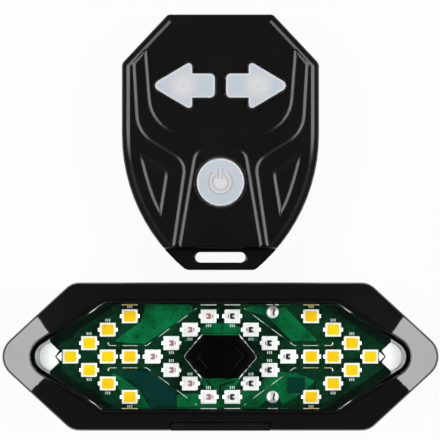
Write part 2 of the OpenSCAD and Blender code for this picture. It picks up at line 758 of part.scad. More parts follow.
// Cross-headed screw that points up from z = 0, its head's outer face
module screw(shank_r, head_r, head_h, len) {
    slot_w = head_r / 3;
    slot_l = head_r * 1.3;
    slot_d = head_h / 2;
    difference() {
        union() {
            cylinder(r = head_r, h = head_h);
            cylinder(r = shank_r, h = len);
        }
        for (turn = [0, 90])
            rotate([0, 0, turn])
                translate([-slot_l / 2, -slot_w / 2, -over])
                    cube([slot_l, slot_w, slot_d + over]);
    }
}

// Rear light

// Space that the rubber cover of the charging socket lies in, also cut from the bezel
module cover_recess() {
    w = cover_w + 2 * cover_gap;
    d = cover_t + cover_gap;
    low_z = cover_hinge_z - cover_t / 2 - cover_gap;
    translate([-w / 2, -light_h / 2 - over, low_z]) cube([w, d + over, bezel_h + part_z - low_z]);
}

module front_bezel() {
    rim_above = 1 + over / window_rim_d;
    color("#0b0b0c") at_light() difference() {
        intersection() {
            prism(light_shape, 0, part_z, rim_z + over);
            loft([
                [window_shape, -window_rim_w - (bezel_h + over) / tan(bezel_slope), part_z - over],
                [window_shape, -window_rim_w, rim_z]]);
        }
        loft([
            [window_shape, 0, rim_z - window_rim_d],
            [window_shape, -window_rim_w * rim_above, rim_z + over]]);
        prism(window_shape, 0, part_z - over, rim_z);
        prism(window_shape, -lens_flange_w - lens_gap, part_z - over, lens_flange_z);
        for (s = screw_spots)
            translate([s.x, s.y, part_z - over])
                cylinder(r = screw_r + pilot_gap, h = screw_bite + over + pilot_gap);
        cover_recess();
    }
}

module lens() {
    block_z = lens_z + lens_flange_t / 2;
    color("#dfeae6", 0.4) at_light() difference() {
        union() {
            prism(window_shape, -lens_flange_w, lens_z, lens_flange_z);
            loft([
                [window_shape, lens_gap, block_z],
                [window_shape, lens_gap, lens_top - lens_bevel_d],
                [window_shape, lens_gap + lens_bevel_w, lens_top]]);
            prism(panel_shape, 0, lens_top - lens_panel_h, panel_top);
        }
        prism(button_shape, -key_gap, lens_z - over, panel_top + over);
    }
}

module mode_button() {
    pocket_w = switch_w + 2 * key_gap;
    color("#141415") at_light() difference() {
        union() {
            loft([
                [button_shape, 0, button_flange_z],
                [button_shape, 0, button_top - button_bevel],
                [button_shape, button_bevel, button_top]]);
            prism(button_shape, -button_flange_w, button_flange_z, button_flange_top);
        }
        loft([
            [button_dish_shape, button_dish_d, button_top - button_dish_d],
            [button_dish_shape, -over, button_top + over]]);
        translate([-pocket_w / 2, -pocket_w / 2, button_flange_z - over])
            cube([pocket_w, pocket_w, plunger_top - button_flange_z + over]);
    }
}

// Switch body on z = 0 with the bore that its plunger moves in
module switch_body(h) {
    difference() {
        translate([-switch_w / 2, -switch_w / 2, 0]) cube([switch_w, switch_w, h]);
        translate([0, 0, h - plunger_depth - key_travel - plunger_gap])
            cylinder(r = plunger_r + plunger_gap, h = plunger_depth + key_travel + over);
    }
}

// Plunger of a switch whose upper face is at the given height
module plunger(top) {
    translate([0, 0, top - plunger_depth])
        cylinder(r = plunger_r, h = plunger_depth + plunger_rise);
}

module mode_switch() {
    color("#2a2a2c") at_light() translate([0, 0, board_z]) switch_body(switch_h);
}

module mode_switch_plunger() {
    color("#8c1f1f") at_light() plunger(switch_top);
}

module lens_gasket() {
    color("#1b1b1b") at_light()
        band(window_shape, -lens_gap - gasket_w, -lens_gap, board_z, lens_z);
}

module light_circuit_board() {
    color("#2f8f56") at_light() prism(window_shape, -board_margin, under_board_z, board_z);
}

module led_package() {
    difference() {
        translate([-led_len / 2, -led_w / 2, 0]) cube([led_len, led_w, led_h]);
        prism(led_well_shape, 0, led_h - led_well_d, led_h + over);
    }
}

// Copies of one LED piece on the board
module on_spots(spots, z) {
    for (s = spots) translate([s.x, s.y, z]) children();
}

module amber_led_packages() {
    color("#f3f1ea") at_light() on_spots(arrow_spots, board_z) led_package();
}

module amber_led_emitters() {
    color("#e2a318") at_light() on_spots(arrow_spots, board_z)
        prism(led_well_shape, 0, led_h - led_well_d, led_h - led_fill_sink);
}

module ring_led_packages() {
    color("#f3f1ea") at_light() on_spots(ring_spots, board_z) led_package();
}

module ring_led_dies() {
    color("#7a2a2e") at_light() on_spots(ring_spots, board_z + led_h - led_well_d)
        translate([-die_w / 2, -die_w / 2, 0]) cube([die_w, die_w, die_h]);
}

module led_terminals() {
    color("#d9d9d6") at_light() on_spots(concat(arrow_spots, ring_spots), board_z)
        for (side = [0, 180])
            rotate([0, 0, side])
                translate([led_len / 2, -terminal_w / 2, 0])
                    cube([terminal_len, terminal_w, terminal_h]);
}

module tip_reflectors() {
    color("#fafafa") at_light()
        for (side = [0, 180])
            rotate([0, 0, side]) prism(reflector_shape, 0, board_z, board_z + reflector_h);
}

module solder_joints() {
    color("#c9ccce") at_light() on_spots(joint_spots, board_z)
        intersection() {
            sphere(r = joint_r);
            translate([-joint_r, -joint_r, 0]) cube(2 * joint_r);
        }
}

module battery() {
    color("#b9bec4") at_light() translate([0, cell_y, 0])
        prism(cell_shape, 0, floor_z + pad_foam_t, floor_z + pad_foam_t + cell_t);
}

module battery_pad() {
    color("#33363a") at_light() translate([0, cell_y, 0])
        prism(cell_shape, pad_foam_inset, floor_z, floor_z + pad_foam_t);
}

module battery_lead_positive() {
    color("#b4231f") at_light() lead(positive_route);
}

module battery_lead_negative() {
    color("#161616") at_light() lead(negative_route);
}

module usb_socket() {
    inner_w = usb_w - 2 * usb_wall;
    inner_h = usb_h - 2 * usb_wall;
    tongue_w = inner_w - 2 * tongue_side_gap;
    tongue_y = plug_d + tongue_front_gap;
    color("#b8bcc0") at_light() translate([0, usb_mouth_y, usb_z]) {
        difference() {
            translate([-usb_w / 2, 0, -usb_h / 2]) cube([usb_w, usb_len, usb_h]);
            translate([-inner_w / 2, -over, -inner_h / 2])
                cube([inner_w, usb_len - usb_wall + over, inner_h]);
        }
        translate([-tongue_w / 2, tongue_y, -usb_tongue_t / 2])
            cube([tongue_w, usb_len - tongue_y, usb_tongue_t]);
    }
}

module usb_cover() {
    plug_w = usb_w - 2 * usb_wall - 2 * plug_side_gap;
    color("#1f1f20") at_light() {
        translate([-cover_w / 2, cover_y - cover_t / 2, cover_hinge_z])
            cube([cover_w, cover_t, cover_top - cover_hinge_z]);
        translate([0, cover_y, cover_hinge_z]) rotate([0, 90, 0]) {
            cylinder(r = cover_t / 2, h = cover_w, center = true);
            cylinder(r = stub_r, h = cover_w + 2 * stub_len, center = true);
        }
        translate([-plug_w / 2, cover_y, usb_z - plug_t / 2])
            cube([plug_w, cover_t / 2 + cover_gap + usb_gap + plug_d, plug_t]);
    }
}

module housing_seal() {
    color("#2c2c2c") at_light()
        band(light_shape, seal_inset, seal_inset + seal_w, part_z - seal_d, part_z);
}

module rear_housing() {
    stub_hole_l = cover_w + 2 * stub_len + 2 * cover_gap;
    usb_hole = [usb_w + 2 * usb_gap, housing_wall + over, usb_h + 2 * usb_gap];
    color("#171718") at_light() difference() {
        union() {
            difference() {
                loft([
                    [light_shape, back_bevel_w, back_z],
                    [light_shape, 0, back_z + back_bevel_h],
                    [light_shape, 0, part_z]]);
                prism(light_shape, housing_wall, floor_z, part_z + over);
            }
            for (s = screw_spots)
                translate([s.x, s.y, floor_z - over])
                    cylinder(r = screw_boss_r, h = part_z - floor_z + over);
            for (s = board_post_spots)
                translate([s.x, s.y, floor_z - over])
                    cylinder(r = post_boss_r, h = under_board_z - floor_z + over);
        }
        band(light_shape, seal_inset, seal_inset + seal_w, part_z - seal_d, part_z + over);
        for (s = screw_spots)
            translate([s.x, s.y, back_z - over]) {
                cylinder(r = screw_r + pilot_gap, h = housing_depth + 2 * over);
                cylinder(r = screw_head_r + head_gap, h = screw_sink + screw_head_h + over);
            }
        for (s = [-1, 1])
            translate([0, s * cradle_screw_y, back_z - over])
                cylinder(r = cradle_screw_r + pilot_gap, h = housing_floor + 2 * over);
        cover_recess();
        translate([0, cover_y, cover_hinge_z]) rotate([0, 90, 0])
            cylinder(r = stub_r + stub_gap, h = stub_hole_l, center = true);
        translate([-usb_hole.x / 2, usb_mouth_y - over, usb_z - usb_hole.z / 2]) cube(usb_hole);
    }
}

module housing_screws() {
    color("#8d9094") at_light()
        for (s = screw_spots)
            translate([s.x, s.y, back_z + screw_sink])
                screw(screw_r, screw_head_r, screw_head_h, housing_depth - screw_sink + screw_bite);
}

module seatpost_cradle() {
    lining_r = post_r + pad_t;
    foot_x = sqrt(lining_r * lining_r - post_z * post_z);
    half_w = foot_x + foot_w;
    color("#19191a") at_light() difference() {
        union() {
            translate([-half_w, -cradle_l / 2, 0]) cube([2 * half_w, cradle_l, back_z]);
            for (side = [0, 180])
                rotate([0, 0, side]) translate([half_w - over, -hook_l / 2, hook_z]) {
                    cube([hook_out + over, hook_l, hook_t]);
                    translate([hook_out + over - hook_t, 0, 0]) cube([hook_t, hook_l, hook_lip]);
                }
        }
        translate([0, 0, post_z]) rotate([90, 0, 0])
            cylinder(r = lining_r, h = cradle_l + 2 * over, center = true, $fn = 128);
        for (s = [-1, 1])
            translate([0, s * cradle_screw_y, crown_z - over]) {
                cylinder(r = cradle_screw_r + pilot_gap, h = crown_t + 2 * over);
                cylinder(r = cradle_head_r + head_gap, h = cradle_head_h + over);
            }
    }
}

module cradle_pad() {
    color("#0f0f10") at_light() difference() {
        translate([0, 0, post_z]) rotate([90, 0, 0])
            cylinder(r = post_r + pad_t, h = cradle_l, center = true, $fn = 128);
        translate([0, 0, post_z]) rotate([90, 0, 0])
            cylinder(r = post_r, h = cradle_l + 2 * over, center = true, $fn = 128);
        translate([-light_len, -light_h, post_z - 2 * post_r])
            cube([2 * light_len, 2 * light_h, 2 * post_r - post_z + pad_foot_gap]);
    }
}

module cradle_screws() {
    tip_gap = 0.2;
    color("#8d9094") at_light()
        for (s = [-1, 1])
            translate([0, s * cradle_screw_y, crown_z])
                screw(cradle_screw_r, cradle_head_r, cradle_head_h, crown_t + housing_floor - tip_gap);
}

// Remote

// Half space above the parting of the strap tab, where the covers are hollow
module hollow_part() {
    end_y = -remote_l / 2 + tab_l + remote_wall / 2;
    intersection() {
        children();
        translate([-remote_w, end_y, -over]) cube([2 * remote_w, remote_l, remote_top + 2 * over]);
    }
}

module strap_slot() {
    y = -remote_l / 2 + slot_from_end;
    reach = slot_l - slot_w;
    translate([-reach / 2, y - slot_w / 2, -over]) cube([reach, slot_w, remote_top + 2 * over]);
    for (s = [-1, 1])
        translate([s * reach / 2, y, -over]) cylinder(r = slot_w / 2, h = remote_top + 2 * over);
}

// What is cut off above the strap tab, with its slope
module above_tab() {
    end_y = -remote_l / 2;
    high = remote_top + rib_h + over;
    high_y = end_y + tab_l + tab_slope * (high - tab_z) / (remote_top - tab_z);
    translate([-remote_w, 0, 0]) rotate([90, 0, 90]) linear_extrude(2 * remote_w)
        polygon([
            [end_y - over, tab_z], [end_y + tab_l, tab_z], [high_y, high], [end_y - over, high]]);
}

// Raised rib between the outer line and the two key fields
module ribs() {
    difference() {
        prism(rib_outer, 0, remote_top - rib_h, remote_top + rib_h);
        for (field = [key_field, power_field])
            prism(field, 0, remote_top - 2 * rib_h, remote_top + 2 * rib_h);
    }
}

module recess() {
    loft([
        [recess_shape, recess_d / 2, remote_top - recess_d],
        [recess_shape, -over / 2, remote_top + over]]);
}

module remote_front_cover() {
    color("#121214") at_remote() difference() {
        union() {
            loft([
                [remote_shape, 0, remote_part],
                [remote_shape, 0, remote_top - rim_h],
                [remote_shape, rim_w / 4, remote_top - rim_h / 3],
                [remote_shape, rim_w, remote_top]]);
            ribs();
        }
        difference() {
            hollow_part() prism(remote_shape, remote_wall, remote_part - over, remote_roof);
            for (s = remote_screw_spots)
                translate([s.x, s.y, 0]) cylinder(r = screw_boss_r, h = remote_top);
        }
        for (s = remote_screw_spots)
            translate([s.x, s.y, remote_part - over])
                cylinder(r = screw_r + pilot_gap, h = remote_screw_bite + over + pilot_gap);
        above_tab();
        strap_slot();
        recess();
        mirror([1, 0, 0]) recess();
        translate([0, key_y, 0]) arrow_opening();
        translate([0, key_y, 0]) mirror([1, 0, 0]) arrow_opening();
        translate([0, -power_drop, remote_part])
            cylinder(r = power_r + key_gap, h = remote_top);
    }
}

module arrow_opening() {
    prism(arrow_key_shape, -key_gap, remote_part, remote_top + rib_h + over);
}

// Arrow key that points along +X, with its hidden flange and its stem
module arrow_key() {
    loft([
        [arrow_key_shape, 0, key_flange_z],
        [arrow_key_shape, 0, key_top - key_edge],
        [arrow_key_shape, key_edge / 3, key_top - key_edge / 3],
        [arrow_key_shape, key_edge, key_top]]);
    prism(arrow_key_shape, -key_flange_w, key_flange_z, key_flange_top);
    translate([key_stem_x, 0, remote_plunger_top])
        cylinder(r = plunger_r, h = key_flange_top - remote_plunger_top);
}

module left_arrow_key() {
    color("#cfd6da") at_remote() translate([0, key_y, 0]) mirror([1, 0, 0]) arrow_key();
}

module right_arrow_key() {
    color("#cfd6da") at_remote() translate([0, key_y, 0]) arrow_key();
}

module power_key() {
    color("#cfd6da") at_remote() translate([0, -power_drop, 0]) {
        rotate_extrude()
            polygon([
                [0, key_flange_z], [power_r + key_flange_w, key_flange_z],
                [power_r + key_flange_w, key_flange_top], [power_r, key_flange_top],
                [power_r, key_top - key_edge], [power_r - key_edge / 3, key_top - key_edge / 3],
                [power_r - key_edge, key_top], [0, key_top]]);
        translate([0, 0, remote_plunger_top])
            cylinder(r = plunger_r, h = key_flange_top - remote_plunger_top);
        translate([0, 0, key_top - symbol_h]) {
            rotate([0, 0, 90 + symbol_gap / 2])
                rotate_extrude(angle = 360 - symbol_gap)
                    translate([symbol_r - symbol_w / 2, 0]) square([symbol_w, 2 * symbol_h]);
            translate([-symbol_w / 2, symbol_r / 3, 0]) cube([symbol_w, symbol_r, 2 * symbol_h]);
        }
    }
}

module remote_plunger(i) {
    spot = remote_switch_spots[i];
    color("#8c1f1f") at_remote() translate([spot.x, spot.y, 0]) plunger(remote_switch_top);
}

module left_switch_plunger() {
    remote_plunger(0);
}

module right_switch_plunger() {
    remote_plunger(1);
}

module power_switch_plunger() {
    remote_plunger(2);
}

module remote_switches() {
    color("#2a2a2c") at_remote() on_spots(remote_switch_spots, remote_board_z)
        switch_body(remote_switch_h);
}

module remote_circuit_board() {
    color("#1e6b3f") at_remote() difference() {
        hollow_part()
            prism(remote_shape, remote_wall + board_gap, under_remote_board_z, remote_board_z);
        translate([-remote_w, -remote_l / 2, 0])
            cube([2 * remote_w, tab_l + remote_wall / 2 + board_gap, remote_top]);
        for (s = remote_screw_spots)
            translate([s.x, s.y, 0]) cylinder(r = screw_boss_r + board_gap, h = remote_top);
    }
}

module cell_holder() {
    inner_r = coin_r + coin_gap;
    color("#222223") at_remote() translate([0, coin_y, coin_z + coin_t / 4])
        difference() {
            cylinder(r = inner_r + holder_wall, h = under_remote_board_z - coin_z - coin_t / 4);
            translate([0, 0, -over]) cylinder(r = inner_r, h = remote_top);
        }
}

module cell_contact() {
    color("#c8a24a") at_remote() translate([-leaf_l / 2, coin_y - leaf_w / 2, 0]) {
        translate([0, 0, under_remote_board_z - leaf_t]) cube([leaf_l, leaf_w, leaf_t]);
        translate([0, 0, coin_top]) cube([leaf_t, leaf_w, under_remote_board_z - coin_top]);
        translate([0, 0, coin_top]) cube([leaf_l / 2, leaf_w, leaf_t]);
    }
}

module coin_cell() {
    color("#c3c6c9") at_remote() translate([0, coin_y, coin_z])
        rotate_extrude()
            polygon([
                [0, 0], [coin_r - 2 * coin_edge, 0], [coin_r - coin_edge, coin_edge],
                [coin_r, coin_edge], [coin_r, coin_t - coin_edge / 2],
                [coin_r - coin_edge / 2, coin_t], [0, coin_t]]);
}

module remote_seal() {
    color("#2c2c2c") at_remote()
        band(remote_shape, remote_seal_inset, remote_seal_inset + remote_seal_w,
            remote_part - remote_seal_d, remote_part);
}

module remote_rear_cover() {
    color("#161618") at_remote() difference() {
        union() {
            difference() {
                loft([
                    [remote_shape, rear_bevel, 0],
                    [remote_shape, 0, rear_bevel],
                    [remote_shape, 0, remote_part]]);
                hollow_part() prism(remote_shape, remote_wall, remote_floor, remote_part + over);
            }
            for (s = remote_screw_spots)
                translate([s.x, s.y, remote_floor - over])
                    cylinder(r = screw_boss_r, h = remote_part - remote_floor + over);
        }
        band(remote_shape, remote_seal_inset, remote_seal_inset + remote_seal_w,
            remote_part - remote_seal_d, remote_part + over);
        strap_slot();
        for (s = remote_screw_spots)
            translate([s.x, s.y, -over]) {
                cylinder(r = screw_r + pilot_gap, h = remote_part + 2 * over);
                cylinder(r = screw_head_r + head_gap, h = screw_sink + screw_head_h + over);
            }
        translate([0, coin_y, -over]) {
            cylinder(r = door_r + door_gap, h = remote_part);
            translate([0, 0, over + ledge_t])
                cylinder(r = door_r + lug_out + 2 * door_gap, h = remote_part);
            for (i = [0 : 2])
                rotate([0, 0, 120 * i + door_turn])
                    lug_sector(door_r + lug_out + door_gap, over + ledge_t + lug_h, lug_play);
        }
    }
}

// Part of a ring round the door, widened by extra degrees to each side
module lug_sector(r, h, extra) {
    bite = 0.5;
    rotate([0, 0, -lug_angle / 2 - extra])
        rotate_extrude(angle = lug_angle + 2 * extra)
            translate([door_r - bite, 0]) square([r - door_r + bite, h]);
}

module remote_screws() {
    color("#8d9094") at_remote()
        for (s = remote_screw_spots)
            translate([s.x, s.y, screw_sink])
                screw(screw_r, screw_head_r, screw_head_h, remote_part - screw_sink + remote_screw_bite);
}

module battery_door() {
    cord_z = (door_lift + ledge_t) / 2;
    lug_z = ledge_t + door_gap;
    color("#1d1d1f") at_remote() translate([0, coin_y, 0]) difference() {
        union() {
            translate([0, 0, door_lift]) cylinder(r = door_r, h = door_t);
            for (i = [0 : 2])
                rotate([0, 0, 120 * i]) translate([0, 0, lug_z]) lug_sector(door_r + lug_out, lug_h, 0);
        }
        translate([-coin_slot_l / 2, -coin_slot_w / 2, door_lift - over])
            cube([coin_slot_l, coin_slot_w, coin_slot_d + over]);
        translate([0, 0, cord_z - door_cord_r]) difference() {
            cylinder(r = door_r + over, h = 2 * door_cord_r);
            translate([0, 0, -over]) cylinder(r = door_r - 2 * door_cord_r, h = 4 * over);
        }
    }
}

module door_seal() {
    cord_z = (door_lift + ledge_t) / 2;
    color("#5a1f1c") at_remote() translate([0, coin_y, cord_z])
        rotate_extrude() translate([door_r - door_cord_r, 0]) circle(r = door_cord_r);
}

front_bezel();
lens();
mode_button();
mode_switch();
mode_switch_plunger();
lens_gasket();
light_circuit_board();
amber_led_packages();
amber_led_emitters();
ring_led_packages();
ring_led_dies();
led_terminals();
tip_reflectors();
solder_joints();
battery();
battery_pad();
battery_lead_positive();
battery_lead_negative();
usb_socket();
usb_cover();
housing_seal();
rear_housing();
housing_screws();
seatpost_cradle();
cradle_pad();
cradle_screws();
left_arrow_key();
right_arrow_key();
power_key();
remote_front_cover();
left_switch_plunger();
right_switch_plunger();
power_switch_plunger();
remote_switches();
remote_circuit_board();
cell_holder();
cell_contact();
coin_cell();
remote_seal();
remote_rear_cover();
remote_screws();
battery_door();
door_seal();
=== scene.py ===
import cmath
import math

import bmesh
import bpy
import numpy as np
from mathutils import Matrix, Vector
from mathutils.geometry import delaunay_2d_cdt


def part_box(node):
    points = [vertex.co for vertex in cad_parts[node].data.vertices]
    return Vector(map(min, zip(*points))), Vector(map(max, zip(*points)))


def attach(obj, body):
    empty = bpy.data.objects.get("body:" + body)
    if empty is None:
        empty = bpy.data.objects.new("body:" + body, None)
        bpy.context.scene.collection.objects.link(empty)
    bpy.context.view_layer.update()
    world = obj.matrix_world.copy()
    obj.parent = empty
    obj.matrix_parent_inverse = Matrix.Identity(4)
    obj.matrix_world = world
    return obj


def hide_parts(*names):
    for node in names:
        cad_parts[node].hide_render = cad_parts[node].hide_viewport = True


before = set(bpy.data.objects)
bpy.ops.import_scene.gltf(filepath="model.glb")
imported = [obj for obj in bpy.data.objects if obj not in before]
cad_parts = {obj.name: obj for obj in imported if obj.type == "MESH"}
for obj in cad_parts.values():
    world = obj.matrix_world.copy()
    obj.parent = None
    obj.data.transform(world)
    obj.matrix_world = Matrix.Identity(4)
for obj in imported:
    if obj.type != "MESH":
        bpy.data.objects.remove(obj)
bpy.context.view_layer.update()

# Table, camera and lamps.
# The set lies on a pale table and is seen from straight above through a long lens. Two wide soft
# lamps stand beyond the light's tips. The room is pale near the table and dark above it.
mm = 0.001
field_width = 96.8
field_centre = Vector((-0.1, 0.5, 23.5))
lamp_tilt, lamp_distance = math.radians(44), 1.0
lamp_length, lamp_width, lamp_energy = 1.46, 0.36, 6.8
lamp_shift = Vector((0, 0.075, 0))
room_tones = ((0.0, 0.95), (0.03, 0.9), (0.16, 0.06), (0.8, 0.05), (1.0, 0.02))
table_size, table_drop, table_glow = 6.0, 0.0002, 0.94
scene = bpy.context.scene
scene.view_settings.view_transform = "Standard"


def span(node):
    """Lowest and highest corner of a CAD node, in millimetres."""
    low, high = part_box(node)
    return low / mm, high / mm


def linked(name, data):
    made = bpy.data.objects.new(name, data)
    scene.collection.objects.link(made)
    return made


camera_data = bpy.data.cameras.new("camera")
camera_data.lens = 1600.0
camera_data.sensor_width = 36.0
camera_height = field_width * camera_data.lens / camera_data.sensor_width
scene.camera = linked("camera", camera_data)
scene.camera.location = (field_centre + Vector((0, 0, camera_height))) * mm
bezel_low, bezel_high = span("front_bezel")
for side in (-1, 1):
    lamp = bpy.data.lights.new(f"side_lamp_{side}", "AREA")
    lamp.shape = "RECTANGLE"
    lamp.size = lamp_length
    lamp.size_y = lamp_width
    lamp.energy = lamp_energy
    away = Vector((side * math.sin(lamp_tilt), 0, math.cos(lamp_tilt)))
    lamp_object = linked(lamp.name, lamp)
    lamp_object.location = (bezel_low + bezel_high) / 2 * mm + away * lamp_distance + lamp_shift
    lamp_object.rotation_euler = away.to_track_quat("Z", "Y").to_euler()
    lamp_object.visible_camera = False


def add_node(tree, kind, inputs=None, **settings):
    """Adds a node. An input is a value, the socket that feeds it or a node whose first socket does."""
    made = tree.nodes.new(kind)
    for name, value in settings.items():
        setattr(made, name, value)
    for name, value in (inputs or {}).items():
        if isinstance(value, bpy.types.Node):
            value = value.outputs[0]
        if isinstance(value, bpy.types.NodeSocket):
            tree.links.new(value, made.inputs[name])
        else:
            made.inputs[name].default_value = value
    return made


def ramp(tree, value, stops):
    """Makes a value a colour by the stops of a ramp, each a place and a colour."""
    made = add_node(tree, "ShaderNodeValToRGB", {0: value})
    elements = made.color_ramp.elements
    while len(elements) < len(stops):
        elements.new(0.5)
    for element, (place, colour) in zip(elements, stops):
        element.position = place
        element.color = (*colour, 1.0)
    return made


def grey(value):
    return (value, value, value)


def own_place(tree):
    """Place in the piece, which a pattern is fixed to."""
    return add_node(tree, "ShaderNodeTexCoord").outputs["Object"]


def noise(tree, scale, detail=2.0):
    return add_node(
        tree, "ShaderNodeTexNoise", {"Vector": own_place(tree), "Scale": scale, "Detail": detail})


def new_material(name):
    made = bpy.data.materials.new(name)
    made.use_nodes = True
    made.node_tree.nodes.clear()
    return made, made.node_tree


scene.world = bpy.data.worlds.new("room")
scene.world.use_nodes = True
tree = scene.world.node_tree
tree.nodes.clear()
direction = add_node(tree, "ShaderNodeTexCoord")
upward = add_node(tree, "ShaderNodeSeparateXYZ", {0: direction.outputs["Generated"]})
room_tone = ramp(tree, upward.outputs["Z"], [(height, grey(tone)) for height, tone in room_tones])
room_light = add_node(tree, "ShaderNodeBackground", {"Color": room_tone})
add_node(tree, "ShaderNodeOutputWorld", {"Surface": room_light})

table_white, tree = new_material("table_white")
table_tone = ramp(tree, noise(tree, scale=3.0), [(0.3, grey(0.93)), (0.7, grey(0.95))])
table_paint = add_node(tree, "ShaderNodeBsdfDiffuse", {"Color": table_tone})
table_shine = add_node(tree, "ShaderNodeEmission", {"Strength": 1.0})
path = add_node(tree, "ShaderNodeLightPath")
seen = path.outputs["Is Camera Ray"]
for ray in ("Is Glossy Ray", "Is Transmission Ray"):
    seen = add_node(tree, "ShaderNodeMath", {0: seen, 1: path.outputs[ray]}, operation="MAXIMUM")
share = add_node(tree, "ShaderNodeMath", {0: seen, 1: table_glow}, operation="MULTIPLY")
table_mix = add_node(tree, "ShaderNodeMixShader", {0: share, 1: table_paint, 2: table_shine})
add_node(tree, "ShaderNodeOutputMaterial", {"Surface": table_mix})
reach = table_size / 2
table_mesh = bpy.data.meshes.new("table")
table_mesh.from_pydata(
    [(-reach, -reach, 0), (reach, -reach, 0), (reach, reach, 0), (-reach, reach, 0)], [], [(0, 1, 2, 3)])
table_mesh.materials.append(table_white)
table = linked("table", table_mesh)
table.location.z = -table_drop

# Front bezel of the light.
# A polished black moulding that frames the window. Its front falls away from the window's rim at
# one even slope, so that only the two tips face the lamps. Screws pull it on to the rear housing.
light_len, light_h, light_flat, light_tip_r, light_corner_r = 96.0, 32.6, 65.4, 5.0, 4.0
window_len, window_h, window_flat, window_tip_r, window_corner_r = 81.8, 23.2, 51.2, 3.4, 2.5
rim_w, side_rim_w, rim_d = 1.1, 0.3, 1.5
rim_wide_x, rim_widening = 38.5, 5.5
bezel_fall = math.tan(math.radians(25.6))
bezel_edge, crest, seam = 0.45, 0.12, 0.12
blunt_tip_r = 5.2
slope_shares = (0.0, 0.05, 0.2, 0.35, 0.5, 0.65, 0.8, 0.95, 1.0)
flange_w, flange_t, lens_gap = 1.2, 1.2, 0.15
cover_w, cover_t, cover_gap = 22.0, 1.8, 0.12
part_z, rim_z = bezel_low.z, bezel_high.z
light_y = (bezel_low.y + bezel_high.y) / 2
flange_z = span("lens")[0].z + flange_t
least_r, least_face_h = 0.05, 5e-5
join_r, double_r = 1e-7, 1e-8
parallel, hit_slack = 1e-9, 1e-6
batch_size, least_length = 2000, 1e-12
face_slack, probe = 0.001, 0.03


def unit(value):
    return value / abs(value)


def flat_ring(points):
    """Points (x, y) as complex numbers, which every outline consists of."""
    return np.array([complex(x, y) for x, y in points])


def rounded(shape, inset=0.0, corner_steps=10, edge_steps=1):
    """Ring of points round an outline, moved inwards, with its corners rounded."""
    points, radii = shape
    corners = flat_ring(points)
    ahead = np.roll(corners, -1) - corners
    ahead /= abs(ahead)
    behind = np.roll(ahead, 1)
    along = (ahead * behind.conj()).real
    moved = corners + inset * 1j * (ahead + behind) / (1 + along)
    convex = (behind.conj() * ahead).imag > 0
    arcs = []
    for i, corner in enumerate(moved):
        if not radii[i]:
            arcs.append([corner])
            continue
        radius = max(least_r, radii[i] - inset if convex[i] else radii[i] + inset)
        to_last = unit(moved[i - 1] - corner)
        to_next = unit(moved[(i + 1) % len(moved)] - corner)
        half = math.acos((to_last * to_next.conjugate()).real) / 2
        centre = corner + unit(to_last + to_next) * radius / math.sin(half)
        start = corner + to_last * radius / math.tan(half) - centre
        end = corner + to_next * radius / math.tan(half) - centre
        sweep = cmath.phase(end / start)
        arcs.append([
            centre + start * cmath.exp(1j * sweep * k / corner_steps)
            for k in range(corner_steps + 1)])
    ring = []
    for arc, following in zip(arcs, arcs[1:] + arcs[:1]):
        ring += arc
        for k in range(1, edge_steps):
            ring.append(arc[-1] + (following[0] - arc[-1]) * k / edge_steps)
    return np.array(ring)


def six_corners(tip_x, x, y):
    return [(tip_x, 0), (x, y), (-x, y), (-tip_x, 0), (-x, -y), (x, -y)]


def long_hexagon(length, height, flat, tip_r, corner_r):
    """Six-sided outline whose two pointed ends are rounded."""
    x, y = flat / 2, height / 2
    reach = length / 2 - tip_r - x
    slant = math.atan2(y, reach) - math.asin(tip_r / math.hypot(reach, y))
    return six_corners(x + y / math.tan(slant), x, y), [tip_r, corner_r, corner_r] * 2


def in_batches(test, points):
    """Tests many points, some at a time."""
    points = np.asarray(points)
    batches = np.array_split(points, max(1, len(points) // batch_size))
    return np.concatenate([test(batch) for batch in batches])


def ring_distance(points, ring):
    """Distance of each point from a closed ring."""
    edge = np.roll(ring, -1) - ring
    length = np.maximum(abs(edge) ** 2, least_length)

    def nearest(batch):
        offset = batch[:, None] - ring
        share = np.clip((offset * edge.conj()).real / length, 0, 1)
        return abs(offset - share * edge).min(axis=1)

    return in_batches(nearest, points)


def inside_ring(points, ring):
    """Whether each point lies inside a closed ring."""
    x0, y0 = ring.real, ring.imag
    x1, y1 = np.roll(x0, -1), np.roll(y0, -1)
    rise = np.where(y1 == y0, least_length, y1 - y0)

    def enclosed(batch):
        px, py = batch.real[:, None], batch.imag[:, None]
        crosses = ((y0 > py) != (y1 > py)) & (px < x0 + (py - y0) * (x1 - x0) / rise)
        return crosses.sum(axis=1) % 2 == 1

    return in_batches(enclosed, points)


def sides_of(face):
    return {frozenset((face[i - 1], face[i])) for i in range(len(face))}


